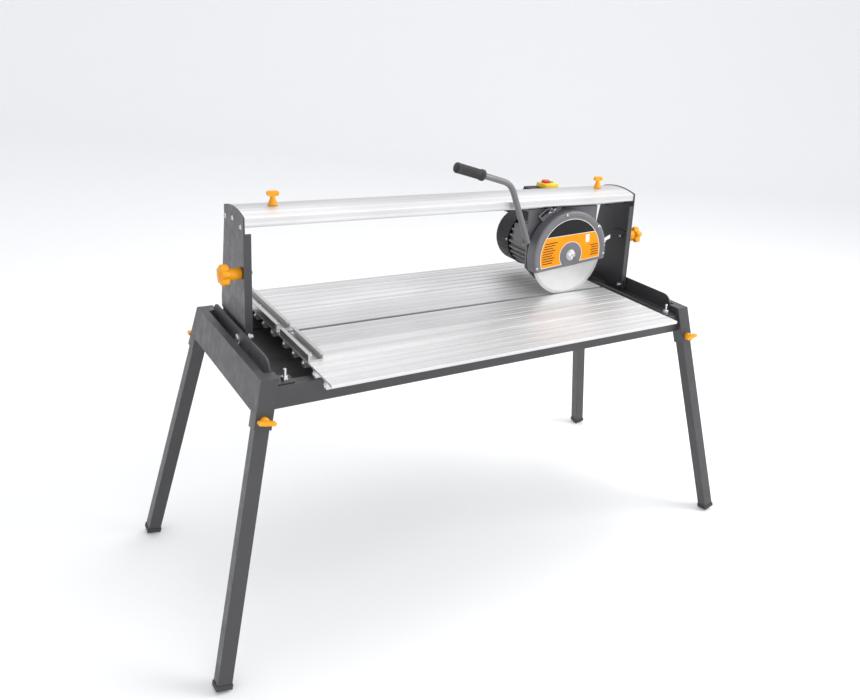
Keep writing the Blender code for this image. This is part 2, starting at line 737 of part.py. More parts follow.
def star_slot():
    """The arc slot that the star knob's bolt runs in while the post tilts."""
    reach = math.hypot(STAR_Y, STAR_Z)
    start = math.degrees(math.atan2(STAR_Z, STAR_Y))
    end = start - math.degrees(TILT_MAX)
    half = STAR_BOLT_RADIUS + RUNNING
    centre = (0, TABLE_HEIGHT)

    def tip(angle):
        turn = math.radians(angle)
        return (reach * math.cos(turn), TABLE_HEIGHT + reach * math.sin(turn))

    return (
        arc(centre, reach + half, start, end, 14)
        + arc(tip(end), half, end, end - 180, 6)[1:-1]
        + arc(centre, reach - half, end, start, 14)
        + arc(tip(start), half, start + 180, start, 6)[1:-1]
    )


def make_posts(paint, head):
    for side_name, side in SIDES.items():
        web = extruded(post_outline(), "X", side * POST_INSIDE, side * POST_OUTSIDE)
        post = piece(f"post_{side_name}", web, paint, head, head["origin"])
        bend = 0.004
        out, front = POST_OUTSIDE, POST_FRONT
        lap = front + 4 * SHEET
        section = [
            (out - SHEET, lap), (out - SHEET, front + SHEET), (out - POST_FLANGE, front + SHEET),
            (out - POST_FLANGE, front),
        ] + arc((out - bend, front + bend), bend, 270, 360, 5) + [(out, lap)]
        flange = extruded(
            [(side * x, y) for x, y in section],
            "Z", TABLE_HEIGHT + POST_FLANGE_LOW, TABLE_HEIGHT + POST_FLANGE_TOP,
        )
        join(post, flange)
        pivot = aimed((1, 0, 0), (0, 0, TABLE_HEIGHT))
        cut(post, moved(rod(PIVOT_BOLT_RADIUS + RUNNING, -RAIL_LENGTH, RAIL_LENGTH, 16), pivot))
        x0, x1 = sorted((side * (POST_INSIDE - OVERSHOOT), side * (POST_OUTSIDE + OVERSHOOT)))
        cut(post, extruded(star_slot(), "X", x0, x1))


def make_pivot_bolts(steel):
    """Shoulder bolts on the tilt axis, through bracket, post and arm, each with its nut."""
    for side_name, side in SIDES.items():
        plate_out = BRACKET_INSIDE + SHEET
        nut_face = POST_INSIDE - RUNNING - SHEET - GAP
        nut_thick, nut_radius = 0.006, 0.0072
        head_thick, head_radius = 0.0055, 0.0095
        thread, shoulder = PIVOT_BOLT_RADIUS, BRACKET_BOLT_RADIUS
        tip = nut_face - nut_thick - 0.005
        profile = [
            (0, tip), (thread, tip), (thread, nut_face - nut_thick),
            (nut_radius, nut_face - nut_thick), (nut_radius, nut_face), (thread, nut_face),
            (thread, POST_OUTSIDE + RUNNING), (shoulder, POST_OUTSIDE + RUNNING),
            (shoulder, plate_out + GAP), (head_radius, plate_out + GAP), (head_radius, plate_out + 0.004),
            (shoulder, plate_out + head_thick), (0, plate_out + head_thick),
        ]
        bolt = moved(turned(profile, 16), aimed((side, 0, 0), (0, 0, TABLE_HEIGHT)))
        piece(f"pivot_bolt_{side_name}", bolt, steel)


def lobed(lobes, radius, depth, steps_per_lobe=6):
    """A lobed outline, as on a star knob."""
    count = lobes * steps_per_lobe
    points = []
    for i in range(count):
        turn = math.tau * i / count
        reach = radius - depth * (0.5 - 0.5 * math.cos(lobes * turn)) ** 1.6
        points.append((reach * math.cos(turn), reach * math.sin(turn)))
    return points


def make_star_knobs(plastic):
    """Clamp knobs with their bolts, through the posts' arc slots and the brackets' arms."""
    for side_name, side in SIDES.items():
        origin = (side * (POST_OUTSIDE + RUNNING), STAR_Y, TABLE_HEIGHT + STAR_Z)
        matrix = aimed((side, 0, 0), origin)
        thick = STAR_KNOB_DEPTH
        outline = lobed(5, STAR_KNOB_RADIUS, 0.0065)
        head = thick - STAR_HEAD_DEPTH
        neck, neck_end = 0.0115, head + 0.002
        levels = [
            (0.62, head), (0.94, head + 0.0015), (1.0, head + 0.004), (1.0, thick - 0.003), (0.9, thick),
        ]
        rings = [[(a * scale, b * scale, t) for a, b in outline] for scale, t in levels]
        knob = piece(f"star_knob_{side_name}", moved(lofted(rings), matrix), plastic, None, origin)
        bolt_end = -(SHEET + 2 * RUNNING + SHEET + 0.012)
        stem = [
            (0, bolt_end), (STAR_BOLT_RADIUS, bolt_end), (STAR_BOLT_RADIUS, 0), (neck, 0),
            (neck, neck_end), (0, neck_end),
        ]
        join(knob, moved(turned(stem, 16), matrix))
        cap = 0.008
        cap_profile = [(0, thick - 0.001), (cap, thick - 0.001), (cap, thick + 0.002), (0, thick + 0.003)]
        join(knob, moved(turned(cap_profile, 12), matrix))


# --- Guide rail -----------------------------------------------------------------------------------
def rail_section():
    """The extruded rail in (y, z): arched skin, lips, and two inner tracks whose feet carry the rollers."""
    width, wall, lip = RAIL_WIDTH, RAIL_WALL, RAIL_LIP
    inset = TRACK_INSET
    foot_low = -TRACK_DROP
    foot_high = foot_low + wall
    steps = 12
    skin = [(width * i / steps, rail_arch(width * i / steps)) for i in range(steps + 1)]
    middle = [inset + wall + (width - 2 * (inset + wall)) * i / 6 for i in range(7)]

    def under(y):
        return rail_arch(y) - wall

    points = [(0, 0)] + skin
    points += [(width, 0), (width - lip, 0), (width - lip, wall), (width - wall, wall)]
    points += [(width - wall, under(width - wall)), (width - inset, under(width - inset))]
    points += [(width - inset, foot_low), (width - inset - TRACK_FOOT, foot_low)]
    points += [(width - inset - TRACK_FOOT, foot_high), (width - inset - wall, foot_high)]
    points += [(y, under(y)) for y in middle[::-1]]
    points += [(inset + wall, foot_high), (inset + TRACK_FOOT, foot_high)]
    points += [(inset + TRACK_FOOT, foot_low), (inset, foot_low), (inset, under(inset))]
    points += [(wall, under(wall)), (wall, wall), (lip, wall), (lip, 0)]
    return [(RAIL_FRONT + y, RAIL_Z + z) for y, z in points]


def make_rail(metal, plastic, head):
    rail = extruded(rail_section(), "X", -RAIL_LENGTH / 2, RAIL_LENGTH / 2)
    rail = piece("guide_rail", rail, metal, head, head["origin"])
    crown = RAIL_Z + RAIL_EDGE_HEIGHT + RAIL_CROWN
    for side_name, side in SIDES.items():
        origin = (side * (RAIL_LENGTH / 2 - LOCK_INSET), RAIL_MIDDLE, crown + GAP)
        matrix = Matrix.Translation(origin)
        cut(rail, moved(rod(LOCK_SCREW_RADIUS + RUNNING, -2 * OVERSHOOT, 2 * OVERSHOOT, 16), matrix))
        tip = RAIL_Z + SPINE_TOP + RUNNING - origin[2]
        collar, waist = 0.009, 0.0045
        stem = [
            (0, tip), (LOCK_SCREW_RADIUS, tip), (LOCK_SCREW_RADIUS, 0), (collar, 0), (collar, 0.003),
            (0.0055, 0.011), (waist, 0.014), (waist, 0.019), (0, 0.019),
        ]
        knob = piece(f"lock_screw_{side_name}", moved(turned(stem, 20), matrix), plastic, head, origin)
        wing = rounded_box((-0.011, -0.004, 0.017), (0.011, 0.004, 0.027), 0.0038, "Y", 4)
        join(knob, moved(wing, matrix))


# --- Carriage -------------------------------------------------------------------------------------
def make_carriage(paint, rubber, carriage):
    """Spine and axles inside the rail, the plate below it, and the cheek that carries the motor."""
    x, z = BLADE_X, BLADE_Z
    half = CARRIAGE_LENGTH / 2
    plate_low = PLATE_Z - CARRIAGE_PLATE
    origin = carriage["origin"]
    low_z = z - CHEEK_DROP
    corner = 0.030
    cheek_outline = [
        (x - half, low_z + corner), (x - half + corner, low_z), (x + half - corner, low_z),
        (x + half, low_z + corner), (x + half, PLATE_Z), (x - half, PLATE_Z),
    ]
    body = piece("carriage", extruded(cheek_outline, "Y", CHEEK_FRONT, CHEEK_BACK), paint, carriage, origin)
    plate_back = RAIL_MIDDLE + 0.030
    join(body, block((x - half, CHEEK_FRONT, plate_low), (x + half, plate_back, PLATE_Z)))
    spine_x = SPINE_LENGTH / 2
    spine_y = SPINE_WIDTH / 2
    spine_low = PLATE_Z - LAP
    join(body, block(
        (x - spine_x, RAIL_MIDDLE - spine_y, spine_low),
        (x + spine_x, RAIL_MIDDLE + spine_y, RAIL_Z + SPINE_TOP),
    ))
    reach = roller_reach() + 0.001
    for place in (-1, 1):
        axle_place = (x + place * ROLLER_SPACING / 2, RAIL_MIDDLE, roller_height())
        join(body, moved(rod(ROLLER_AXLE_RADIUS, -reach, reach, 16), aimed((0, 1, 0), axle_place)))
    arm_back = switch_front() + SWITCH_DEPTH
    join(body, block((x - 0.055, plate_back - LAP, plate_low), (x + 0.030, arm_back, PLATE_Z)))
    add_handle_ear(body, x - half)
    stud_x, stud_z = stud_place()
    stud = rod(GUARD_STUD_RADIUS, -0.003, CHEEK_FRONT + LAP, 12)
    join(body, moved(stud, aimed((0, 1, 0), (stud_x, 0, stud_z))))
    shaft_hole = rod(0.0135, CHEEK_FRONT - OVERSHOOT, CHEEK_BACK + OVERSHOOT, 24)
    cut(body, moved(shaft_hole, aimed((0, 1, 0), (x, 0, z))))
    for side_name, side in SIDES.items():
        face = x + side * (spine_x + GAP)
        x0, x1 = sorted((face, face + side * BUFFER_LENGTH))
        low = (x0, RAIL_MIDDLE - spine_y, PLATE_Z - 0.006)
        high = (x1, RAIL_MIDDLE + spine_y, RAIL_Z + 0.006)
        buffer = rounded_box(low, high, 0.003, "X")
        piece(f"carriage_buffer_{side_name}", buffer, rubber, carriage, origin)


def add_handle_ear(body, cheek_end):
    """A bent strip from the cheek's left end, forward to the handle's foot."""
    low, high = TABLE_HEIGHT + EAR_LOW, TABLE_HEIGHT + EAR_HIGH
    ear_x = cheek_end - EAR_REACH
    ear_front = HANDLE_PLANE + HANDLE_RADIUS + GAP
    join(body, block((ear_x, CHEEK_FRONT, low), (cheek_end + 2 * LAP, CHEEK_BACK, high)))
    join(body, block((ear_x, ear_front, low), (ear_x + EAR_THICK, CHEEK_BACK - 0.001, high)))
    join(body, block((ear_x - EAR_TAB, ear_front, low), (ear_x + LAP, ear_front + EAR_THICK, high)))


def roller_height():
    return RAIL_Z - TRACK_DROP + RAIL_WALL + ROLLER_RADIUS + RUNNING


def roller_reach():
    """Outer face of a roller from the rail's middle."""
    return RAIL_WIDTH / 2 - TRACK_INSET - RAIL_WALL - 0.0012


def make_rollers(steel, carriage):
    for end_name, end in ENDS.items():
        for side_name, side in SIDES.items():
            origin = (BLADE_X + side * ROLLER_SPACING / 2, RAIL_MIDDLE, roller_height())
            outer = roller_reach()
            shape = ring(ROLLER_AXLE_RADIUS + RUNNING, ROLLER_RADIUS, outer - ROLLER_WIDTH, outer, 24)
            moved(shape, aimed((0, end, 0), origin))
            piece(f"roller_{end_name}_{side_name}", shape, steel, carriage, origin)


def stud_place():
    """The guard's clamp stud, in (x, z)."""
    return (
        BLADE_X - GUARD_SLOT_RADIUS * math.sin(GUARD_STUD_ANGLE),
        BLADE_Z + GUARD_SLOT_RADIUS * math.cos(GUARD_STUD_ANGLE),
    )


# --- Motor ----------------------------------------------------------------------------------------
def fin_outline():
    """The motor body's outline: evenly spaced fins round a drum."""
    points = []
    pitch = math.tau / FIN_COUNT
    for i in range(FIN_COUNT):
        for share, reach in ((-0.22, 0), (-0.16, 1), (0.16, 1), (0.22, 0)):
            turn = pitch * (i + share)
            radius = MOTOR_RADIUS + reach * FIN_HEIGHT
            points.append((BLADE_X + radius * math.cos(turn), BLADE_Z + radius * math.sin(turn)))
    return points


def shaft_matrix():
    """+Z runs back along the motor's axis from the blade's middle plane."""
    return aimed((0, 1, 0), (BLADE_X, 0, BLADE_Z))


def make_motor(paint, plastic, steel, carriage, arbor):
    matrix = shaft_matrix()
    origin = (BLADE_X, 0, BLADE_Z)
    seat = BEARING_RADIUS + RUNNING
    front_seat = MOTOR_FRONT + BEARING_WIDTH + RUNNING
    back_seat = MOTOR_BACK - BEARING_WIDTH - RUNNING
    body = extruded(fin_outline(), "Y", MOTOR_FRONT, MOTOR_BACK)
    housing = piece("motor_housing", body, paint, carriage, origin)
    chamber = ROTOR_RADIUS + AIR_GAP
    bore = [
        (0, MOTOR_FRONT - OVERSHOOT), (seat, MOTOR_FRONT - OVERSHOOT), (seat, front_seat),
        (chamber, front_seat), (chamber, back_seat),
        (seat, back_seat), (seat, MOTOR_BACK + OVERSHOOT), (0, MOTOR_BACK + OVERSHOOT),
    ]
    cut(housing, moved(turned(bore, 24), matrix))
    bearing_starts = {
        "front": MOTOR_FRONT + RUNNING / 2,
        "rear": MOTOR_BACK - BEARING_WIDTH - RUNNING / 2,
    }
    for place, start in bearing_starts.items():
        race = ring(SHAFT_RADIUS + GAP, BEARING_RADIUS, start, start + BEARING_WIDTH, 24)
        piece(f"bearing_{place}", moved(race, matrix), steel, carriage, origin)
    core_front, core_back = front_seat + 0.008, back_seat - 0.008
    fan_back = MOTOR_BACK + 0.030
    collar, collar_front, collar_back = 0.0105, 0.0057, MOTOR_FRONT - 0.001
    rotor = [
        (0, -0.0165), (SHAFT_RADIUS, -0.0165), (SHAFT_RADIUS, collar_front), (collar, collar_front),
        (collar, collar_back), (SHAFT_RADIUS, collar_back), (SHAFT_RADIUS, core_front),
        (ROTOR_RADIUS, core_front), (ROTOR_RADIUS, core_back), (SHAFT_RADIUS, core_back),
        (SHAFT_RADIUS, fan_back), (0, fan_back),
    ]
    piece("rotor_shaft", moved(turned(rotor, 20), matrix), steel, arbor, origin)
    make_fan(plastic, arbor)
    make_fan_cover(plastic, carriage)


def make_fan(plastic, arbor):
    """A hub with straight vanes on the rear end of the shaft."""
    vanes = 7
    hub = 0.016
    front = MOTOR_BACK + 0.008
    half_width = 0.0015
    points = []
    for i in range(vanes):
        turn = math.tau * i / vanes
        rise = Vector((math.cos(turn), math.sin(turn)))
        across = Vector((-rise.y, rise.x))
        root = math.sqrt(hub ** 2 - half_width ** 2)
        for reach, shift in ((root, -1), (FAN_RADIUS, -1), (FAN_RADIUS, 1), (root, 1)):
            spot = rise * reach + across * (shift * half_width)
            points.append((BLADE_X + spot.x, BLADE_Z + spot.y))
    width = 0.018
    wheel = extruded(points, "Y", front, front + width)
    fan = piece("cooling_fan", wheel, plastic, arbor, (BLADE_X, 0, BLADE_Z))
    bore = rod(SHAFT_RADIUS + GAP, front - OVERSHOOT, front + width + OVERSHOOT, 24)
    cut(fan, moved(bore, shaft_matrix()))


def make_fan_cover(plastic, carriage):
    """The cup over the fan, with ventilation slots in its back."""
    start = MOTOR_BACK + GAP
    back = start + FAN_COVER_LENGTH
    outer, wall = FAN_COVER_RADIUS, FAN_COVER_WALL
    soft = 0.008
    profile = [
        (outer - wall, start), (outer, start), (outer, back - soft),
        (outer - soft * 0.3, back - soft * 0.3), (outer - soft, back), (0, back), (0, back - wall),
        (outer - soft, back - wall), (outer - wall, back - soft),
    ]
    cover = moved(turned(profile, 32), shaft_matrix())
    cover = piece("fan_cover", cover, plastic, carriage, (BLADE_X, 0, BLADE_Z))
    slots = []
    pitch, half_slot = 0.014, 0.003
    vented = outer - soft - 2 * half_slot
    for row in range(-3, 4):
        height = row * pitch
        reach = math.sqrt(vented ** 2 - height ** 2)
        slots.append(block(
            (BLADE_X - reach, back - 2 * OVERSHOOT, BLADE_Z + height - half_slot),
            (BLADE_X + reach, back + OVERSHOOT, BLADE_Z + height + half_slot),
        ))
    cut(cover, *slots)


# --- Blade and guard ------------------------------------------------------------------------------
def make_blade(steel, pale_steel, arbor):
    origin = (BLADE_X, 0, BLADE_Z)
    matrix = shaft_matrix()
    half = BLADE_THICKNESS / 2
    blade = ring(ARBOR_RADIUS + GAP, BLADE_RADIUS, -half, half, 60)
    piece("blade", moved(blade, matrix), pale_steel, arbor, origin)
    seat = half + GAP
    bore = SHAFT_RADIUS + GAP
    rim_thick, crest = 0.0015, FLANGE_RADIUS - 0.004
    far = seat + FLANGE_THICK
    inner = [
        (bore, -half * 0.7), (ARBOR_RADIUS, -half * 0.7), (ARBOR_RADIUS, seat), (FLANGE_RADIUS, seat),
        (FLANGE_RADIUS, seat + rim_thick), (crest, far), (bore, far),
    ]
    piece("blade_flange_inner", moved(turned(inner, 24), matrix), steel, arbor, origin)
    outer = [
        (bore, -seat), (bore, -far), (crest, -far),
        (FLANGE_RADIUS, -seat - rim_thick), (FLANGE_RADIUS, -seat),
    ]
    piece("blade_flange_outer", moved(turned(outer, 24), matrix), steel, arbor, origin)
    nut_back = -far - GAP
    nut_front = nut_back - NUT_THICK
    hexagon = circle(NUT_FLATS / math.sqrt(3), 6, (BLADE_X, BLADE_Z))
    nut = piece("blade_nut", extruded(hexagon, "Y", nut_front, nut_back), steel, arbor, origin)
    cut(nut, moved(rod(bore, nut_front - OVERSHOOT, nut_back + OVERSHOOT, 24), matrix))


def half_drum(radius, chord, steps=30):
    """A circle cut off by a chord below its centre, at the guard's rest angle."""
    dip = math.degrees(math.asin(chord / radius))
    tilt = math.degrees(GUARD_REST)
    return arc((BLADE_X, BLADE_Z), radius, tilt - dip, tilt + 180 + dip, steps)


def guard_chamber(front, back):
    """The space inside the guard, open below."""
    inner = GUARD_RADIUS - GUARD_WALL
    outline = half_drum(inner, GUARD_CHORD - 0.001)
    first, last = outline[0], outline[-1]
    down = (math.sin(GUARD_REST) * 2 * OVERSHOOT, -math.cos(GUARD_REST) * 2 * OVERSHOOT)
    outline += [(last[0] + down[0], last[1] + down[1]), (first[0] + down[0], first[1] + down[1])]
    return extruded(outline, "Y", front, back)


def make_guard(paint, guard):
    """Two half-drum shells round the blade, a boss over the nut and a slotted ear for the clamp stud."""
    origin = guard["origin"]
    matrix = shaft_matrix()
    front = extruded(half_drum(GUARD_RADIUS, GUARD_CHORD), "Y", GUARD_FRONT, GUARD_SPLIT - GAP)
    front = piece("guard_front", front, paint, guard, origin)
    step, dome = GUARD_FRONT - 0.004, GUARD_FRONT - 0.010
    boss = [
        (0, GUARD_FRONT + 0.001), (0.032, GUARD_FRONT + 0.001), (0.030, step), (0.0165, step),
        (0.0155, dome), (0.010, dome - 0.0035), (0, dome - 0.0045),
    ]
    join(front, moved(turned(boss, 24), matrix))
    cut(front, guard_chamber(GUARD_FRONT + GUARD_WALL, GUARD_SPLIT + OVERSHOOT))
    nut_room, room_end = 0.0125, dome + 0.0015
    hollow = [(0, GUARD_SPLIT), (nut_room, GUARD_SPLIT), (nut_room, room_end), (0, room_end)]
    cut(front, moved(turned(hollow, 16), matrix))
    back = extruded(half_drum(GUARD_RADIUS, GUARD_CHORD), "Y", GUARD_SPLIT, GUARD_BACK)
    back = piece("guard_back", back, paint, guard, origin)
    angle = 90 + math.degrees(GUARD_STUD_ANGLE)
    slot_half = GUARD_STUD_RADIUS + RUNNING
    ends = math.degrees(GUARD_SWING) + 2
    margin = ends + math.degrees(GUARD_EAR_WALL / GUARD_SLOT_RADIUS)
    centre = (BLADE_X, BLADE_Z)
    ear_radius = GUARD_SLOT_RADIUS + slot_half + GUARD_EAR_WALL
    ear = arc(centre, ear_radius, angle - margin, angle + margin, 14)
    ear += arc(centre, GUARD_RADIUS - 2 * LAP, angle + margin, angle - margin, 10)
    join(back, extruded(ear, "Y", GUARD_BACK - GUARD_EAR_THICK, GUARD_BACK))
    slot = arc(centre, GUARD_SLOT_RADIUS + slot_half, angle - ends, angle + ends, 10)
    slot += arc(centre, GUARD_SLOT_RADIUS - slot_half, angle + ends, angle - ends, 10)
    hub_bore = GUARD_HUB_RADIUS - GUARD_HUB_WALL
    hub = ring(hub_bore, GUARD_HUB_RADIUS, GUARD_BACK - 0.001, CHEEK_FRONT - RUNNING, 24)
    join(back, moved(hub, matrix))
    cut(back, guard_chamber(GUARD_SPLIT - OVERSHOOT, GUARD_BACK - GUARD_WALL))
    cut(back, extruded(slot, "Y", GUARD_BACK - OVERSHOOT, GUARD_BACK + OVERSHOOT))
    cut(back, moved(rod(hub_bore, -2 * OVERSHOOT, CHEEK_FRONT + OVERSHOOT, 24), matrix))


def make_wing_nut(steel, carriage):
    """The nut on the guard's clamp stud."""
    stud_x, stud_z = stud_place()
    back = GUARD_BACK - GUARD_EAR_THICK - GAP
    origin = (stud_x, back, stud_z)
    matrix = aimed((0, -1, 0), origin, GUARD_STUD_ANGLE)
    shape = ring(GUARD_STUD_RADIUS + GAP, 0.0046, 0, 0.006, 20)
    nut = piece("guard_wing_nut", moved(shape, matrix), steel, carriage, origin)
    middle, half_wing, half_thick = 0.0073, 0.0041, 0.0012
    for side in (-1, 1):
        low = (side * middle - half_wing, -half_thick, 0.002)
        high = (side * middle + half_wing, half_thick, 0.010)
        join(nut, moved(rounded_box(low, high, 0.0024, "Y"), matrix))


# --- Handle and switch ----------------------------------------------------------------------------
def handle_path():
    """Centre line of the pull handle: up from its ear, a bend, and along to the grip."""
    blade = Vector((BLADE_X, BLADE_Z))
    low, bend, far = (blade + Vector(offset) for offset in (HANDLE_FOOT, HANDLE_BEND, HANDLE_END))
    radius = 0.022
    into = (bend - low).normalized()
    out = (far - bend).normalized()
    start, finish = bend - into * radius, bend + out * radius
    points = [low]
    steps = 6
    for i in range(steps + 1):
        t = i / steps
        points.append(start * (1 - t) ** 2 + bend * (2 * t * (1 - t)) + finish * t ** 2)
    points.append(far)
    return [Vector((point.x, HANDLE_PLANE, point.y)) for point in points]


def make_handle(paint, rubber, carriage):
    path = handle_path()
    end = path[-1]
    direction = (end - path[-2]).normalized()
    origin = carriage["origin"]
    bar_path = path[:-1] + [end - direction * 0.006]
    piece("handle_bar", swept(bar_path, HANDLE_RADIUS), paint, carriage, origin)
    bore = HANDLE_RADIUS + GAP
    collar, waist = 1.12 * GRIP_RADIUS, 0.93 * GRIP_RADIUS
    profile = [
        (0, -0.005), (bore, -0.005), (bore, -GRIP_LENGTH), (collar, -GRIP_LENGTH),
        (collar, -GRIP_LENGTH + 0.004), (waist, -GRIP_LENGTH + 0.008), (waist, -0.6 * GRIP_LENGTH),
        (GRIP_RADIUS, -0.35 * GRIP_LENGTH), (GRIP_RADIUS, -0.006), (0.8 * GRIP_RADIUS, 0), (0, 0.001),
    ]
    grip = moved(turned(profile, 20), aimed(direction, end))
    piece("handle_grip", grip, rubber, carriage, origin)


def switch_front():
    """Front face of the switch box, behind the rail."""
    return RAIL_FRONT + RAIL_WIDTH + SWITCH_CLEAR


def make_switch(black, yellow, red, green, carriage):
    """The switch box on the carriage's rear arm, its frame and its two buttons."""
    origin = carriage["origin"]
    left = BLADE_X + SWITCH_LEFT
    right = left + SWITCH_WIDTH
    front = switch_front()
    back = front + SWITCH_DEPTH
    low = PLATE_Z + GAP
    top = low + SWITCH_BOX_HEIGHT
    corner = 0.004
    box = rounded_box((left, front, low), (right, back, top), corner)
    box = piece("switch_box", box, black, carriage, origin)
    nut, neck = 0.009, 0.0065
    gland = [(0, -LAP), (nut, -LAP), (nut, 0.006), (neck, 0.008), (neck, 0.020), (0, 0.020)]
    gland_place = (left + 0.020, back, low + SWITCH_BOX_HEIGHT / 2)
    join(box, moved(turned(gland, 20), aimed((0, 1, 0), gland_place)))
    frame_left = right - SWITCH_FRAME_LENGTH
    base = top + GAP
    frame_top = base + SWITCH_FRAME_HEIGHT
    frame_box = rounded_box((frame_left, front + LAP, base), (right, back - LAP, frame_top), corner)
    frame = piece("switch_frame", frame_box, yellow, carriage, origin)
    middle = (front + back) / 2
    for name, place, radius, finish, rise in (
        ("stop_button", frame_left + 0.0155, 0.011, red, 0.0075),
        ("start_button", right - 0.0095, 0.0055, green, 0.003),
    ):
        spot = (place, middle, frame_top)
        well = rod(radius + RUNNING, -BUTTON_DEPTH, OVERSHOOT, 24)
        cut(frame, moved(well, Matrix.Translation(spot)))
        foot = BUTTON_TRAVEL + GAP - BUTTON_DEPTH
        profile = [
            (0, foot), (radius, foot), (radius, rise - 0.002), (radius * 0.8, rise), (0, rise + 0.0005),
        ]
        piece(name, moved(turned(profile, 24), Matrix.Translation(spot)), finish, carriage, spot)


def make_capacitor_box(black, carriage):
    """The motor's capacitor and terminals, behind the cheek and below the plate."""
    length, depth = 0.066, 0.078
    left = BLADE_X - 0.086
    low = BLADE_Z + MOTOR_RADIUS + FIN_HEIGHT + 0.004
    high = PLATE_Z - CARRIAGE_PLATE - GAP
    box = rounded_box((left, CHEEK_BACK + GAP, low), (left + length, CHEEK_BACK + depth, high), 0.006, "Y")
    piece("capacitor_box", box, black, carriage, carriage["origin"])


def main():
    clear_scene()
    dark_paint = finish_of("dark_grey_paint", (0.060, 0.060, 0.064), 0.42)
    grey_paint = finish_of("mid_grey_paint", (0.19, 0.19, 0.20), 0.40)
    metal = finish_of("aluminium", (0.72, 0.71, 0.71), 0.35, 0.9)
    pale_steel = finish_of("blade_steel", (0.72, 0.72, 0.72), 0.38, 0.9)
    steel = finish_of("zinc_steel", (0.60, 0.60, 0.60), 0.30, 1.0)
    amber = finish_of("amber_plastic", (0.86, 0.38, 0.02), 0.38)
    black = finish_of("black_plastic", (0.020, 0.020, 0.021), 0.5)
    rubber = finish_of("black_rubber", (0.022, 0.022, 0.022), 0.75)
    yellow = finish_of("yellow_plastic", (0.80, 0.62, 0.03), 0.4)
    red = finish_of("red_plastic", (0.62, 0.03, 0.03), 0.4)
    green = finish_of("green_plastic", (0.03, 0.32, 0.08), 0.4)

    make_end_frames(dark_paint)
    make_long_rails(dark_paint)
    make_legs(dark_paint, rubber, amber)
    make_tray(black)
    make_table(metal)
    make_fences(metal)
    make_brackets(dark_paint)
    make_pivot_bolts(steel)
    make_star_knobs(amber)

    head = body_empty("head_body", (0, 0, TABLE_HEIGHT))
    carriage = body_empty("carriage_body", (BLADE_X, RAIL_MIDDLE, RAIL_Z), head)
    arbor = body_empty("arbor_body", (BLADE_X, 0, BLADE_Z), carriage)
    guard = body_empty("guard_body", (BLADE_X, 0, BLADE_Z), carriage)
    make_posts(dark_paint, head)
    make_rail(metal, amber, head)
    make_carriage(grey_paint, rubber, carriage)
    make_rollers(steel, carriage)
    make_motor(grey_paint, black, steel, carriage, arbor)
    make_blade(steel, pale_steel, arbor)
    make_guard(grey_paint, guard)
    make_wing_nut(steel, carriage)
    make_handle(grey_paint, rubber, carriage)
    make_switch(black, yellow, red, green, carriage)
    make_capacitor_box(black, carriage)


main()
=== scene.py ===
"""Looks of the tile cutter: finishes for the CAD nodes, the small hardware, the label and the studio."""

import math

import bmesh
import bpy
from mathutils import Matrix, Vector


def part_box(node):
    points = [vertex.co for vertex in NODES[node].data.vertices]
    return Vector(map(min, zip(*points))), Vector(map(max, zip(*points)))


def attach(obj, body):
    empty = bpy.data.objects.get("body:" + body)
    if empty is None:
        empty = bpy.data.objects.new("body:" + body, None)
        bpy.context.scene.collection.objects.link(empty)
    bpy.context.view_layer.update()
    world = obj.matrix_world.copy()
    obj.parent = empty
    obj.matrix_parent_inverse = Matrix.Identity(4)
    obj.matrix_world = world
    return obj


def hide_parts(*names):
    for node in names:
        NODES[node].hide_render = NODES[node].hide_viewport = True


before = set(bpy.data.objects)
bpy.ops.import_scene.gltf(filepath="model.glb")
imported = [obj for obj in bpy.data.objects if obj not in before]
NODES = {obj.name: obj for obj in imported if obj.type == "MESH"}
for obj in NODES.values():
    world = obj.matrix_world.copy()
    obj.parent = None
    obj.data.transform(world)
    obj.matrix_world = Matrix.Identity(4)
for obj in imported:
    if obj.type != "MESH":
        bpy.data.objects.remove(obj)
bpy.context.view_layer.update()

MM = 0.001

# --- Places read from the frame -------------------------------------------------------------------
BLADE_LOW, BLADE_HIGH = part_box("blade")
HUB = (BLADE_LOW + BLADE_HIGH) / 2
BLADE_RADIUS = (BLADE_HIGH.x - BLADE_LOW.x) / 2
TABLE_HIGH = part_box("table_front")[1]
TABLE_REAR_LOW, TABLE_REAR_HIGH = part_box("table_rear")
TABLE_TOP = TABLE_HIGH.z
RAIL_LOW, RAIL_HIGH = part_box("guide_rail")
GUARD_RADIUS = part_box("guard_front")[1].z - HUB.z
SIDES = {"left": -1, "right": 1}

# --- Colours, linear ------------------------------------------------------------------------------
DARK_GREY = (0.043, 0.043, 0.046)
MID_GREY = (0.150, 0.148, 0.160)
MOTOR_GREY = (0.175, 0.165, 0.160)
ALUMINIUM = (0.73, 0.72, 0.72)
STEEL = (0.66, 0.66, 0.67)
BLADE_GREY = (0.66, 0.66, 0.655)
AMBER = (0.86, 0.34, 0.006)
BLACK = (0.011, 0.011, 0.012)
FOOT_GREY = (0.040, 0.040, 0.042)
TRAY_GREY = (0.085, 0.080, 0.082)
RUBBER = (0.018, 0.018, 0.018)
YELLOW = (0.80, 0.58, 0.02)
RED = (0.60, 0.02, 0.02)
GREEN = (0.02, 0.30, 0.07)
LABEL_ORANGE = (0.90, 0.30, 0.0)
LABEL_PALE = (0.86, 0.82, 0.74)
SCUFF = (0.95, 0.95, 0.95)
# colour of the painted shade bands on the rail's top
PAINTED_BAND_SHADE = (0.46, 0.45, 0.45)
RUBBER_DUST = (0.10, 0.095, 0.09)
BLADE_RIM = (0.50, 0.49, 0.46)
FLOOR_PALE = (0.93, 0.93, 0.93)
SKY_PALE = (0.96, 0.97, 1.0)

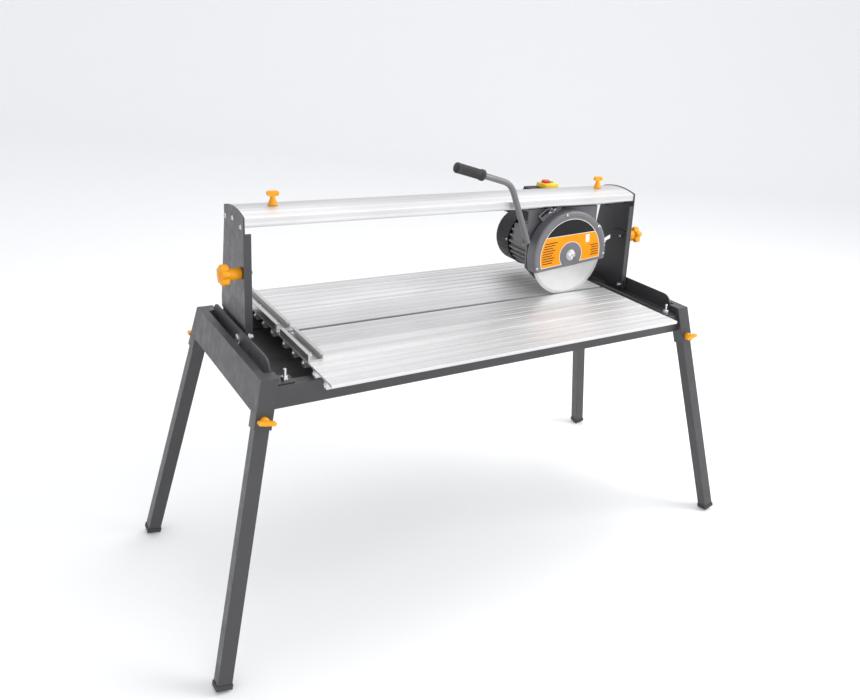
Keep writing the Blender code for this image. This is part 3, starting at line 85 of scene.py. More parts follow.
# --- Layers: the stretch of a noise that shows, and how a layer shifts the colour ------------------
MOTTLE = (0.35, 0.7)
GRAIN = (0.3, 0.7)
LIGHTER = 1.5
DARKER = 0.55
BLADE_RIM_DEPTH = (0.0078, 0.0072)  # from the blade's edge, where the sintered rim starts and is full

# --- Edges ----------------------------------------------------------------------------------------
WELD_REACH = 0.00001
FLAT_ANGLE = 0.6
EDGE_ANGLE = 38
EDGE_SEGMENTS = 2


# --- Materials ------------------------------------------------------------------------------------
class Finish:
    """A Principled material with procedural layers for colour, roughness and relief."""

    def __init__(self, name, color, roughness, metallic=0.0, **sockets):
        self.material = bpy.data.materials.new(name)
        self.material.use_nodes = True
        self.material.diffuse_color = (*color, 1)
        self.nodes = self.material.node_tree.nodes
        self.links = self.material.node_tree.links
        self.shader = self.nodes["Principled BSDF"]
        self.color = color
        self.set(self.shader, "Base Color", (*color, 1))
        self.set(self.shader, "Roughness", roughness)
        self.set(self.shader, "Metallic", metallic)
        for socket, value in sockets.items():
            self.set(self.shader, socket.replace("_", " ").title().replace("Ior", "IOR"), value)
        self.place = self.nodes.new("ShaderNodeTexCoord").outputs["Object"]
        self.height = None

    def set(self, node, socket, value):
        if hasattr(value, "is_linked"):
            self.links.new(value, node.inputs[socket])
        else:
            node.inputs[socket].default_value = value

    def node(self, kind, inputs=(), **settings):
        made = self.nodes.new(kind)
        for key, value in settings.items():
            setattr(made, key, value)
        for socket, value in dict(inputs).items():
            self.set(made, socket, value)
        return made

    def math(self, operation, a, b):
        return self.node("ShaderNodeMath", {0: a, 1: b}, operation=operation).outputs[0]

    def stretched(self, scale, centre=(0, 0, 0)):
        """The object's coordinates, moved to a centre and scaled along each axis."""
        moved = self.node("ShaderNodeVectorMath", {0: self.place, 1: centre}, operation="SUBTRACT")
        inputs = {0: moved.outputs[0], 1: scale}
        return self.node("ShaderNodeVectorMath", inputs, operation="MULTIPLY").outputs[0]

    def noise(self, scale, detail=3.0, vector=None, roughness=0.55):
        inputs = {"Vector": vector or self.place, "Scale": scale, "Detail": detail, "Roughness": roughness}
        return self.node("ShaderNodeTexNoise", inputs).outputs["Fac"]

    def remap(self, value, low, high, to_low=0.0, to_high=1.0):
        inputs = {"Value": value, "From Min": low, "From Max": high, "To Min": to_low, "To Max": to_high}
        return self.node("ShaderNodeMapRange", inputs).outputs[0]

    def blend(self, share, first, second):
        mixer = self.node("ShaderNodeMix", data_type="RGBA", blend_type="MIX")
        self.set(mixer, 0, share)
        for socket, value in ((6, first), (7, second)):
            self.set(mixer, socket, (*value, 1) if isinstance(value, tuple) else value)
        return mixer.outputs[2]

    def tint(self, share, color):
        """Mixes a colour over what is there, by a share."""
        linked = self.shader.inputs["Base Color"].links
        under = linked[0].from_socket if linked else self.color
        self.set(self.shader, "Base Color", self.blend(share, under, color))
        return self

    def vary(self, value, low, high, strength):
        """Lightens and darkens the colour round its own value, as the layer goes from low to high."""
        self.tint(self.remap(value, low, high, 0.0, strength), tuple(min(1, c * LIGHTER) for c in self.color))
        return self.tint(self.remap(value, high, low, 0.0, strength), tuple(c * DARKER for c in self.color))

    def gloss(self, value, low, high, rough_low, rough_high):
        self.set(self.shader, "Roughness", self.remap(value, low, high, rough_low, rough_high))
        return self

    def relief(self, height, depth, strength=1.0):
        """Adds a bump layer over those already there."""
        bump = self.node("ShaderNodeBump", {"Strength": strength, "Distance": depth, "Height": height})
        if self.height:
            self.set(bump, "Normal", self.height)
        self.height = bump.outputs["Normal"]
        self.set(self.shader, "Normal", self.height)
        return self

    def worn_edges(self, radius, color, strength):
        """A painted highlight: a paler, broken line along edges, where light catches them."""
        rounded = self.node("ShaderNodeBevel", {"Radius": radius}, samples=4).outputs[0]
        flat = self.node("ShaderNodeNewGeometry").outputs["Normal"]
        facing = self.node("ShaderNodeVectorMath", {0: rounded, 1: flat}, operation="DOT_PRODUCT")
        edge = self.remap(facing.outputs["Value"], 0.985, 0.86, 0.0, 1.0)
        broken = self.math("MULTIPLY", edge, self.remap(self.noise(90, 4), 0.35, 0.65))
        return self.tint(self.math("MULTIPLY", broken, strength), color)


def coat(name, color, roughness, grain=1.0, edge=0.35):
    """Powder coat: orange peel, faint mottling, and a painted highlight along the edges."""
    finish = Finish(name, color, roughness, coat_weight=0.12, coat_roughness=0.3)
    finish.vary(finish.noise(14, 4), *MOTTLE, 0.14)
    finish.vary(finish.noise(1400, 1), *GRAIN, 0.16)
    finish.gloss(finish.noise(45, 4), *GRAIN, roughness - 0.07, roughness + 0.10)
    finish.relief(finish.noise(900, 2), 0.00005 * grain, 0.7)
    finish.relief(finish.noise(160, 2), 0.00010 * grain, 0.35)
    # A painted highlight along the edges, in a paler colour.
    return finish.worn_edges(0.0011, tuple(min(1, c * 2.6) for c in color), edge)


def extrusion(name, along, color=ALUMINIUM, roughness=0.34, contrast=0.5, metallic=0.92):
    """Extruded aluminium: die lines along the profile, faint cloudy anodising and light scuffs."""
    finish = Finish(name, color, roughness, metallic, anisotropic=0.35)
    lines = [1.1, 1.1, 1.1]
    scuffs = [70, 70, 70]
    for i in range(3):
        if i != "XYZ".index(along):
            lines[i] = 420
            scuffs[i] = 9
    fine = finish.noise(1.0, 5, finish.stretched(lines), 0.7)
    broad = finish.noise(0.16, 3, finish.stretched(lines), 0.6)
    finish.vary(fine, 0.34, 0.66, 0.20 * contrast)
    finish.vary(broad, 0.36, 0.64, 0.30 * contrast)
    finish.vary(finish.noise(5, 3), *MOTTLE, 0.12)
    finish.gloss(fine, *GRAIN, roughness - 0.08, roughness + 0.12)
    finish.relief(fine, 0.00006, 0.6)
    finish.relief(broad, 0.00016, 0.5)
    scratch = finish.remap(finish.noise(1.0, 5, finish.stretched(scuffs), 0.8), 0.68, 0.76)
    return finish.tint(finish.math("MULTIPLY", scratch, 0.25), SCUFF)


def shade_bands(finish, bands):
    """Painted shade: darker lengthwise bands from one depth (Y) on, each over the last, standing in for the
    reflections along the rail's top.
    """
    depth = finish.node("ShaderNodeSeparateXYZ", {0: finish.place}).outputs["Y"]
    for start, full, share in bands:
        finish.tint(finish.remap(depth, start, full, 0.0, share), PAINTED_BAND_SHADE)


def plated(name, color=STEEL, roughness=0.24):
    """Bright zinc plate with fine tool marks."""
    finish = Finish(name, color, roughness, 1.0)
    finish.vary(finish.noise(260, 4), *MOTTLE, 0.25)
    finish.gloss(finish.noise(500, 3), *GRAIN, roughness - 0.06, roughness + 0.14)
    return finish.relief(finish.noise(2200, 2), 0.00002, 0.5)


def moulded(name, color, roughness, grain=0.00004, shine=0.5):
    """Injection-moulded plastic: fine spark-eroded grain, slight flow marks and a painted highlight along the
    edges.
    """
    finish = Finish(name, color, roughness, specular_ior_level=shine)
    finish.vary(finish.noise(30, 3), *MOTTLE, 0.18)
    finish.gloss(finish.noise(120, 4), *GRAIN, roughness - 0.08, roughness + 0.10)
    finish.relief(finish.noise(1900, 2), grain, 0.7)
    # A painted highlight along the edges, in a paler colour.
    return finish.worn_edges(0.0008, tuple(min(1, c * 1.5 + 0.01) for c in color), 0.25)


def soft_rubber(name):
    """Matt rubber, cloudy and a little dusty."""
    finish = Finish(name, RUBBER, 0.78, sheen_weight=0.15, sheen_roughness=0.5)
    finish.vary(finish.noise(60, 5), *MOTTLE, 0.35)
    finish.tint(finish.remap(finish.noise(18, 5), 0.58, 0.72, 0.0, 0.35), RUBBER_DUST)
    return finish.relief(finish.noise(700, 4), 0.00012, 0.8)


def round_distance(finish, centre):
    """Distance from the blade's axis, whichever way the disc has turned."""
    flat = finish.stretched((1, 0, 1), centre)
    return finish.node("ShaderNodeVectorMath", {0: flat}, operation="LENGTH").outputs["Value"]


def blade_finish():
    """Ground steel core with turning marks, and a sintered rim."""
    finish = Finish("blade_steel", BLADE_GREY, 0.42, 0.6)
    distance = round_distance(finish, HUB)
    lathe_marks = {"W": finish.math("MULTIPLY", distance, 2600.0)}
    turning = finish.node("ShaderNodeTexNoise", lathe_marks, noise_dimensions="1D")
    rings = turning.outputs["Fac"]
    finish.vary(rings, *GRAIN, 0.14)
    finish.vary(finish.noise(24, 4), *MOTTLE, 0.10)
    finish.gloss(rings, *GRAIN, 0.36, 0.52)
    finish.relief(rings, 0.00002, 0.5)
    rim = finish.remap(distance, *(BLADE_RADIUS - depth for depth in BLADE_RIM_DEPTH))
    finish.tint(finish.math("MULTIPLY", rim, 0.75), BLADE_RIM)
    grit = finish.math("MULTIPLY", finish.noise(2400, 3), rim)
    finish.relief(grit, 0.00030, 0.8)
    return finish


def printed(name, color, roughness=0.48):
    """Printed vinyl: slightly uneven ink under a satin film."""
    finish = Finish(name, color, roughness, specular_ior_level=0.22)
    finish.vary(finish.noise(240, 4), *MOTTLE, 0.10)
    finish.vary(finish.noise(22, 3), *MOTTLE, 0.12)
    return finish.relief(finish.noise(60, 3), 0.00012, 0.4)


def studio_finish(name, color):
    """Matt paper for the floor and the wall behind."""
    finish = Finish(name, color, 0.9)
    finish.vary(finish.noise(0.8, 2), *GRAIN, 0.01)
    return finish


# --- Dressing the CAD nodes -----------------------------------------------------------------------
def soften(obj, width):
    """Rounds a node's hard edges, as pressing, moulding or coating does."""
    weld = obj.modifiers.new("weld", "WELD")
    weld.merge_threshold = WELD_REACH
    flat = obj.modifiers.new("flat_faces", "DECIMATE")
    flat.decimate_type = "DISSOLVE"
    flat.angle_limit = math.radians(FLAT_ANGLE)
    bevel = obj.modifiers.new("edge_round", "BEVEL")
    bevel.width = width
    bevel.segments = EDGE_SEGMENTS
    bevel.limit_method = "ANGLE"
    bevel.angle_limit = math.radians(EDGE_ANGLE)
    bevel.miter_outer = "MITER_ARC"
    normals = obj.modifiers.new("even_normals", "WEIGHTED_NORMAL")
    normals.keep_sharp = False
    obj.data.polygons.foreach_set("use_smooth", [True] * len(obj.data.polygons))


def wear(finish, names, edge=None):
    """Puts a finish on CAD nodes, and rounds their edges by a width if one is given."""
    for name in names:
        node = NODES[name]
        node.data.materials.clear()
        node.data.materials.append(finish.material)
        if edge:
            soften(node, edge)


def both(pattern):
    """The left and right node of a name."""
    return [pattern.format(side) for side in SIDES]


def corners(pattern):
    """The four nodes of a name, one at each corner."""
    return [pattern.format(f"{end}_{side}") for end in ("front", "rear") for side in SIDES]


# --- Mesh building --------------------------------------------------------------------------------
def place_piece(name, shape, finish, body, smooth_angle=35):
    """A new piece from a bmesh in the row frame, riding on a body."""
    shape.normal_update()
    bmesh.ops.recalc_face_normals(shape, faces=shape.faces)
    mesh = bpy.data.meshes.new(name)
    shape.to_mesh(mesh)
    shape.free()
    mesh.materials.append(finish.material)
    mesh.shade_smooth()
    mesh.set_sharp_from_angle(angle=math.radians(smooth_angle))
    obj = bpy.data.objects.new(name, mesh)
    bpy.context.scene.collection.objects.link(obj)
    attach(obj, body)
    return obj


def aimed(direction, origin, roll=0.0):
    """The matrix that takes +Z to a direction and the world's origin to a point."""
    turn = Vector(direction).to_track_quat("Z", "Y").to_matrix().to_4x4()
    return Matrix.Translation(origin) @ turn @ Matrix.Rotation(roll, 4, "Z")


def lathe(profile, steps=32, form=None):
    """A closed solid round Z from (radius, z) points that start and end on the axis.

    form(turn, radius, z) can give another radius at an angle, for flutes, lobes and sockets.
    """
    shape = bmesh.new()
    columns = []
    for radius, z in profile:
        if radius == 0:
            columns.append([shape.verts.new((0, 0, z))] * steps)
            continue
        column = []
        for i in range(steps):
            turn = math.tau * i / steps
            reach = form(turn, radius, z) if form else radius
            column.append(shape.verts.new((reach * math.cos(turn), reach * math.sin(turn), z)))
        columns.append(column)
    for column, following in zip(columns, columns[1:]):
        for i in range(steps):
            j = (i + 1) % steps
            loop = [column[i], column[j], following[j], following[i]]
            shape.faces.new(list(dict.fromkeys(loop)))
    return shape


def ring_of(section, steps):
    """A ring round Z from a closed (radius, z) section."""
    shape = bmesh.new()
    rows = []
    for i in range(steps):
        turn = math.tau * i / steps
        rows.append([shape.verts.new((r * math.cos(turn), r * math.sin(turn), z)) for r, z in section])
    for row, following in zip(rows, rows[1:] + rows[:1]):
        for k in range(len(section)):
            n = (k + 1) % len(section)
            shape.faces.new((row[k], row[n], following[n], following[k]))
    return shape


def tube(points, radius, steps=10):
    """A round wire along a smooth path, closed at both ends."""
    path = [Vector(point) for point in points]
    shape = bmesh.new()
    rows = []
    side = None
    for i, point in enumerate(path):
        tangent = (path[min(i + 1, len(path) - 1)] - path[max(i - 1, 0)]).normalized()
        side = side or tangent.orthogonal()
        side = (side - tangent * side.dot(tangent)).normalized()
        up = tangent.cross(side)
        rows.append([
            shape.verts.new(point + radius * (side * math.cos(t) + up * math.sin(t)))
            for t in (math.tau * k / steps for k in range(steps))
        ])
    for row, following in zip(rows, rows[1:]):
        for k in range(steps):
            n = (k + 1) % steps
            shape.faces.new((row[k], row[n], following[n], following[k]))
    shape.faces.new(rows[0])
    shape.faces.new(rows[-1])
    return shape


def merged(shapes):
    """Several shapes in one mesh."""
    whole = bmesh.new()
    for shape in shapes:
        part = bpy.data.meshes.new("part")
        shape.to_mesh(part)
        whole.from_mesh(part)
        bpy.data.meshes.remove(part)
        shape.free()
    return whole


def in_metres(profile):
    """A profile given in millimetres."""
    return [(radius * MM, z * MM) for radius, z in profile]


SCREW_SOCKET = 0.5  # of the head's radius
SCREW_STEPS = 24
SCREW_TURN = 1.3  # radians from one screw of a row to the next
GUARD_SCREW = (3.4 * MM, 2.6 * MM)  # radius and height of the head, and the washer's radius if any
TABLE_SCREW = (4.2 * MM, 3.2 * MM, 5.2 * MM)
FENCE_SCREW = (4.4 * MM, 3.0 * MM, 5.6 * MM)
POST_SCREW = (4.0 * MM, 3.4 * MM, 5.2 * MM)
FAN_COVER_SCREW = (3.0 * MM, 2.2 * MM)


def screw_head(radius, height):
    """A domed screw head on z = 0 with a hexagon socket."""
    rise = [math.radians(a) for a in (0, 25, 50, 68)]
    dome = [(radius * math.cos(a * 0.8), height * (0.25 + 0.75 * math.sin(a))) for a in rise]
    across = radius * SCREW_SOCKET
    profile = [(0, 0), (radius, 0)] + dome
    rim = across * 1.18
    profile += [(rim, height), (across, height * 0.97), (across * 0.98, height * 0.35), (0, height * 0.25)]

    def form(turn, reach, z):
        if reach > across:
            return reach
        third = math.radians(60)
        return reach / math.cos((turn + third / 2) % third - third / 2) * math.cos(third / 2)

    return lathe(profile, SCREW_STEPS, form)


def screws(name, places, direction, body, radius, height, washer=0.0):
    """A row of equal zinc screws as one piece, with a washer under each head if it has one."""
    shapes = []
    for number, spot in enumerate(places):
        head = screw_head(radius, height)
        head.transform(aimed(direction, spot, number * SCREW_TURN))
        shapes.append(head)
        if washer:
            top = [(washer, 0.0007), (washer * 0.94, 0.0011), (0, 0.0011)]
            disc = lathe([(0, -0.0002), (washer, -0.0002)] + top, SCREW_STEPS)
            disc.transform(aimed(direction, spot))
            shapes.append(disc)
    return place_piece(name, merged(shapes), zinc, body)


# --- Finishes -------------------------------------------------------------------------------------
dark_paint = coat("dark_grey_paint", DARK_GREY, 0.40)
guard_paint = coat("mid_grey_paint", MID_GREY, 0.36, 0.6)
motor_paint = coat("motor_grey_paint", MOTOR_GREY, 0.46, 1.4)
table_metal = extrusion("table_aluminium", "X", roughness=0.46, contrast=1.1, metallic=0.68)
rail_metal = extrusion("rail_aluminium", "X", roughness=0.38, contrast=0.9, metallic=0.8)
# Painted shade: three darker lengthwise bands on the rail's top, in place of its reflections.
shade_bands(rail_metal, ((0.026, 0.034, 0.42), (0.044, 0.046, 0.22), (0.066, 0.070, 0.40)))
fence_metal = extrusion("fence_aluminium", "Y", (0.62, 0.61, 0.60), contrast=0.8)
zinc = plated("zinc_steel")
blade_steel = blade_finish()
amber = moulded("amber_plastic", AMBER, 0.40, shine=0.35)
black = moulded("black_plastic", BLACK, 0.50, shine=0.3)
tray_plastic = moulded("tray_plastic", TRAY_GREY, 0.5)
rubber = soft_rubber("black_rubber")
foot_rubber = moulded("foot_rubber", FOOT_GREY, 0.6)
yellow = moulded("yellow_plastic", YELLOW, 0.36)
red = moulded("red_plastic", RED, 0.30)
green = moulded("green_plastic", GREEN, 0.34)
label_orange = printed("label_orange", LABEL_ORANGE)
label_black = printed("label_black", BLACK)
label_pale = printed("label_pale", LABEL_PALE)

wear(dark_paint, both("frame_end_{}") + ["frame_rail_front", "frame_rail_rear"], 0.9 * MM)
wear(dark_paint, corners("leg_{}"), 0.9 * MM)
wear(dark_paint, both("end_bracket_{}") + both("post_{}"), 0.6 * MM)
wear(guard_paint, ["carriage", "guard_back"], 0.6 * MM)
wear(guard_paint, ["handle_bar"])
wear(motor_paint, ["motor_housing"], 0.4 * MM)
wear(table_metal, ["table_front", "table_rear"], 0.25 * MM)
wear(rail_metal, ["guide_rail"], 0.4 * MM)
wear(fence_metal, ["fence_front", "fence_rear"], 0.3 * MM)
wear(zinc, both("pivot_bolt_{}") + ["rotor_shaft", "blade_flange_inner", "blade_flange_outer"])
wear(zinc, ["bearing_front", "bearing_rear"] + corners("roller_{}"))
wear(zinc, ["blade_nut", "guard_wing_nut"], 0.3 * MM)
wear(blade_steel, ["blade"])
wear(amber, corners("leg_knob_{}") + both("lock_screw_{}"), 0.5 * MM)
wear(tray_plastic, ["water_tray"], 0.8 * MM)
wear(black, ["water_pump", "switch_box", "capacitor_box"], 0.8 * MM)
wear(black, ["fan_cover", "cooling_fan"])
wear(foot_rubber, corners("foot_{}"), 0.5 * MM)
wear(rubber, both("carriage_buffer_{}"), 0.5 * MM)
wear(yellow, ["switch_frame"], 0.8 * MM)
wear(red, ["stop_button"])
wear(green, ["start_button"])


# --- Clamp knobs and grip -------------------------------------------------------------------------
KNOB_LOBES = 5
KNOB_HOLLOW = 0.32  # of the head's radius, between two lobes
KNOB_ROUND = 0.0118  # radii below this have no lobes
KNOB_SEAT = 0.0004  # between the post's face and the knob's neck
KNOB_HEAD = 0.019
KNOB_BOLT = 4.0 * MM
KNOB_BOLT_TIP = -21 * MM
SHANK_START = 3 * MM  # a knob's vertices this far inside the post's face are its bolt's
GRIP_FULLNESS = 0.94  # of the CAD grip's radius, so that the collar stays inside its box
GRIP_GAP = 0.3 * MM
GRIP_PLUG = -0.006  # where the handle bar ends in the grip
GRIP_FLUTES = 14
GRIP_FLUTED = (-0.0620, -0.0084)
GRIP_LENGTH = 0.072  # of the profile below
GRIP_PROFILE = [  # share of the radius, and millimetres from the end
    (0, 0), (0.55, -0.4), (0.80, -1.6), (0.90, -3.4), (0.93, -6.0), (0.93, -7.5),
    (0.88, -8.5), (0.88, -62.0), (0.93, -63.0), (1.0, -64.5), (1.0, -70.6), (0.95, -71.5),
]


def lobed(turn, radius, z):
    """A knob's radius: round at the neck, and hollowed between the lobes of the head."""
    if radius < KNOB_ROUND:
        return radius
    dip = (0.5 - 0.5 * math.cos(KNOB_LOBES * turn)) ** 1.5
    return radius * (1 - KNOB_HOLLOW * dip)


def star_knobs():
    """Five-lobed clamp knobs with rolled edges, on their bolts."""
    for side_name, side in SIDES.items():
        node = f"star_knob_{side_name}"
        low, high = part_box(node)
        wide = (high.z - low.z) / 2
        outer = max(side * low.x, side * high.x)
        face = abs(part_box(f"post_{side_name}")[0 if side < 0 else 1].x) + KNOB_SEAT
        depth = outer - face
        head = depth - KNOB_HEAD
        profile = [
            (0, 0.0002), (0.0108, 0.0002), (0.0115, 0.0009), (0.0115, head), (0.0135, head + 0.0006),
            (0.92 * wide, head + 0.0010), (wide, head + 0.0028), (wide, depth - 0.0064),
            (0.975 * wide, depth - 0.0042), (0.90 * wide, depth - 0.0030), (0.0117, depth - 0.0026),
            (0.0098, depth - 0.0026), (0.0088, depth - 0.0034), (0.0080, depth - 0.0010),
            (0.0060, depth), (0, depth),
        ]
        shape = lathe(profile, 60, lobed)
        shank = [v.co for v in NODES[node].data.vertices if side * v.co.x < face - SHANK_START]
        ys, zs = [p.y for p in shank], [p.z for p in shank]
        middle = Vector((side * face, (min(ys) + max(ys)) / 2, (min(zs) + max(zs)) / 2))
        shape.transform(aimed((side, 0, 0), middle, 0.3))
        knob = place_piece(f"star_clamp_{side_name}", shape, amber, node, 50)
        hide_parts(node)
        bolt, tip = KNOB_BOLT, KNOB_BOLT_TIP
        thread = lathe([(0, tip), (bolt * 0.8, tip), (bolt, tip + MM), (bolt, 0), (0, 0)], 20)
        thread.transform(aimed((side, 0, 0), middle))
        place_piece(f"star_bolt_{side_name}", thread, zinc, node)


def handle_grip():
    """The moulded grip: flutes between two collars, and a rounded end."""
    low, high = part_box("handle_grip")
    bar_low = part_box("handle_bar")[0]
    radius = GRIP_FULLNESS * (high.y - low.y) / 2
    points = [v.co for v in NODES["handle_grip"].data.vertices]
    end = min(points, key=lambda p: p.x)
    inner = max(points, key=lambda p: p.x)
    axis = fit_axis(points)
    middle = sum(points, Vector()) / len(points)
    start = middle + axis * (end - middle).dot(axis)
    length = (end - inner).dot(axis)
    bore = (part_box("handle_bar")[1].y - bar_low.y) / 2 + GRIP_GAP
    profile = [(share * radius, z * MM * length / GRIP_LENGTH) for share, z in GRIP_PROFILE]
    profile += [(bore, -length), (bore, GRIP_PLUG), (0, GRIP_PLUG)]

    def form(turn, wide, z):
        if wide < 0.8 * radius or not GRIP_FLUTED[0] < z < GRIP_FLUTED[1]:
            return wide
        return wide * (1.03 - 0.07 * abs(math.sin(GRIP_FLUTES * turn / 2)) ** 0.7)

    # The fluted stretch is one long step of the profile, so it is divided for a smooth surface.
    stretches = [(profile[7][1] - profile[6][1]) * k / 12 for k in range(1, 12)]
    profile[7:7] = [(profile[6][0], profile[6][1] + step) for step in stretches]
    shape = lathe(profile, 112, form)
    shape.transform(aimed(axis, start))
    grip = place_piece("ribbed_grip", shape, rubber, "carriage", 40)
    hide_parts("handle_grip")


def fit_axis(points):
    """Direction of a long round piece that lies in the XZ plane, pointing to its low-X end."""
    middle = sum(points, Vector()) / len(points)
    xx = sum((p.x - middle.x) ** 2 for p in points)
    xz = sum((p.x - middle.x) * (p.z - middle.z) for p in points)
    zz = sum((p.z - middle.z) ** 2 for p in points)
    slope = 0.5 * math.atan2(2 * xz, xx - zz)
    return Vector((-math.cos(slope), 0, -math.sin(slope)))


star_knobs()
handle_grip()

# --- Guard ----------------------------------------------------------------------------------------
GUARD_TILT = math.radians(5.4)
GUARD_CHORD = 26 * MM
BAND_TURN = 2.4  # degrees that the label's band lies flatter than the guard
GUARD_FACE = 14.2 * MM  # the sunk face, forward of the blade
GUARD_DRAWN_RADIUS = 0.1055  # of the two profiles below, in millimetres
GUARD_PROFILE = [
    (0, 22.6), (4, 22.2), (7.5, 21.0), (10.5, 19.0), (12.5, 16.9), (13.6, 15.7), (15, 15.3), (28.6, 15.3),
    (30.0, 15.1), (30.8, 14.7), (31.6, 14.3), (33.0, 14.2), (36.0, 14.2), (90.5, 14.2), (92.4, 14.5),
    (93.6, 15.2), (95.0, 15.6), (100.0, 15.6), (102.6, 15.0), (104.4, 13.4), (105.3, 11.0), (105.5, 8.0),
    (105.5, 4.3), (103.3, 4.3), (103.3, 11.2), (101.5, 12.8), (34, 12.0), (13.0, 12.0), (10.5, 15.0),
    (8.0, 17.6), (0, 19.4),
]
CAP_PROFILE = [
    (0, 23.0), (4, 22.6), (7.6, 21.4), (10.7, 19.3), (12.8, 17.1), (13.9, 15.7), (13.9, 14), (0, 14),
]
LABEL_OUTER, LABEL_INNER = 86 * MM, 33 * MM
LABEL_FOOT, LABEL_SPLIT = -18 * MM, 50 * MM
LABEL_RIM = 1.3 * MM
LABEL_LAYERS = (0.15, 0.30, 0.45, 0.50)  # border, field, band and print, in millimetres off the face
LABEL_THICK = 0.00025
BAR_ROWS, BAR_STEP, BAR_HEIGHT = 9, 5.9 * MM, 2.0 * MM
BAR_TOP, BAR_MARGIN = 38 * MM, 4 * MM
LEFT_BAR, RIGHT_BAR = 36 * MM, 24 * MM  # the longest ones
CLIP_WIRE = 1.3 * MM
CLIP_FORWARD = 9 * MM


def guard_turned(radius, degrees):
    """The point at a radius and an angle from the guard's own level, in (x, z) from the hub."""
    turn = math.radians(degrees) + GUARD_TILT
    return radius * math.cos(turn), radius * math.sin(turn)


def guard_point(radius, degrees, forward):
    """The point at a radius and an angle from the guard's own level, forward of the blade."""
    x, z = guard_turned(radius, degrees)
    return Vector((HUB.x + x, HUB.y - forward, HUB.z + z))


def guard_shell():
    """The front half of the guard: a rolled rim, a sunk face, a hub ring and a domed cap."""
    scale = GUARD_RADIUS / GUARD_DRAWN_RADIUS
    shape = lathe([(r * MM * scale, z * MM) for r, z in GUARD_PROFILE], 120)
    shape.transform(aimed((0, -1, 0), HUB))
    side = Vector((math.sin(GUARD_TILT), 0, -math.cos(GUARD_TILT)))
    plane = HUB + side * GUARD_CHORD
    cut = bmesh.ops.bisect_plane(
        shape, geom=shape.verts[:] + shape.edges[:] + shape.faces[:],
        plane_co=plane, plane_no=side, clear_outer=True,
    )
    rim = [edge for edge in cut["geom_cut"] if isinstance(edge, bmesh.types.BMEdge)]
    bmesh.ops.triangle_fill(shape, edges=rim, use_beauty=True)
    shell = place_piece("guard_shell", shape, guard_paint, "guard", 32)
    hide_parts("guard_front")
    cap = lathe([(r * MM * scale, z * MM) for r, z in CAP_PROFILE], 48)
    cap.transform(aimed((0, -1, 0), HUB))
    place_piece("guard_cap", cap, zinc, "guard")


def plate(outer, inner, front):
    """A thin plate between two rows of (x, z) points about the hub, its face so far forward of the blade."""
    shape = bmesh.new()
    back, face = [
        [[shape.verts.new((HUB.x + x, HUB.y - forward, HUB.z + z)) for x, z in row]
         for row in (outer, inner)]
        for forward in (front - LABEL_THICK, front)
    ]
    last = len(outer) - 1
    for i in range(last):
        for rows in (back, face):
            shape.faces.new((rows[0][i], rows[0][i + 1], rows[1][i + 1], rows[1][i]))
        for row in (0, 1):
            shape.faces.new((back[row][i], back[row][i + 1], face[row][i + 1], face[row][i]))
    for i in (0, last):
        shape.faces.new((back[0][i], back[1][i], face[1][i], face[0][i]))
    return shape


def sweep(radius, start, end, steps):
    """Points along an arc about the hub."""
    return [guard_turned(radius, start + (end - start) * i / steps) for i in range(steps + 1)]


def crossing(radius, height):
    """The angle, in the guard's frame, at which a circle reaches a height."""
    return math.degrees(math.asin(height / radius))


def guard_label():
    """A horseshoe label round the hub: dark band above, orange field below, with plain bars."""
    border_at, field_at, band_at, print_at = (GUARD_FACE + layer * MM for layer in LABEL_LAYERS)

    def horseshoe(grow):
        big, small, low = LABEL_OUTER + grow, LABEL_INNER - grow, LABEL_FOOT - grow
        first, second = crossing(big, low), crossing(small, low)
        return sweep(big, first, 180 - first, 64), sweep(small, second, 180 - second, 64)

    border = plate(*horseshoe(LABEL_RIM), border_at)
    place_piece("label_border", border, label_pale, "guard")
    field = plate(*horseshoe(0), field_at)
    place_piece("label_field", field, label_orange, "guard")
    start = crossing(LABEL_OUTER, LABEL_SPLIT)
    left, right = 180 - start - BAND_TURN, start - BAND_TURN
    ends = [guard_turned(LABEL_OUTER, right), guard_turned(LABEL_OUTER, left)]
    band = plate(sweep(LABEL_OUTER, right, left, 48), between(*ends, 48), band_at)
    place_piece("label_band", band, label_black, "guard")
    lower = [(x, z - 1.2 * MM) for x, z in ends]
    divider = plate(ends, lower, print_at)
    place_piece("label_divider", divider, label_pale, "guard")
    window = bar(50 * MM, 33 * MM, 11 * MM, 19 * MM)
    place_piece("label_window", plate(*window, print_at), label_pale, "guard")
    bars = []
    for row in range(BAR_ROWS):
        height = BAR_TOP - row * BAR_STEP
        edge = math.sqrt((LABEL_OUTER - BAR_MARGIN) ** 2 - height ** 2)
        inside = math.sqrt(max((LABEL_INNER + BAR_MARGIN) ** 2 - height ** 2, (8 * MM) ** 2))
        width = min(edge - inside, LEFT_BAR) * (0.95 - 0.10 * (row % 3))
        bars.append(plate(*bar(-edge + width / 2, height, width, BAR_HEIGHT), print_at))
        if row > 3:
            short = min(edge - inside, RIGHT_BAR) * (0.95 - 0.12 * (row % 2))
            bars.append(plate(*bar(edge - short / 2, height, short, BAR_HEIGHT), print_at))
    place_piece("label_bars", merged(bars), label_black, "guard")


def between(start, end, steps):
    """Points along a straight line."""
    return [tuple(a + (b - a) * i / steps for a, b in zip(start, end)) for i in range(steps + 1)]


def bar(x, z, width, height):
    """A rectangle in the guard's own level, about the hub."""
    cos, sin = math.cos(GUARD_TILT), math.sin(GUARD_TILT)
    rows = [[(x + a * width / 2, z + b * height / 2) for a in (-1, 1)] for b in (1, -1)]
    return [[(a * cos - b * sin, a * sin + b * cos) for a, b in row] for row in rows]


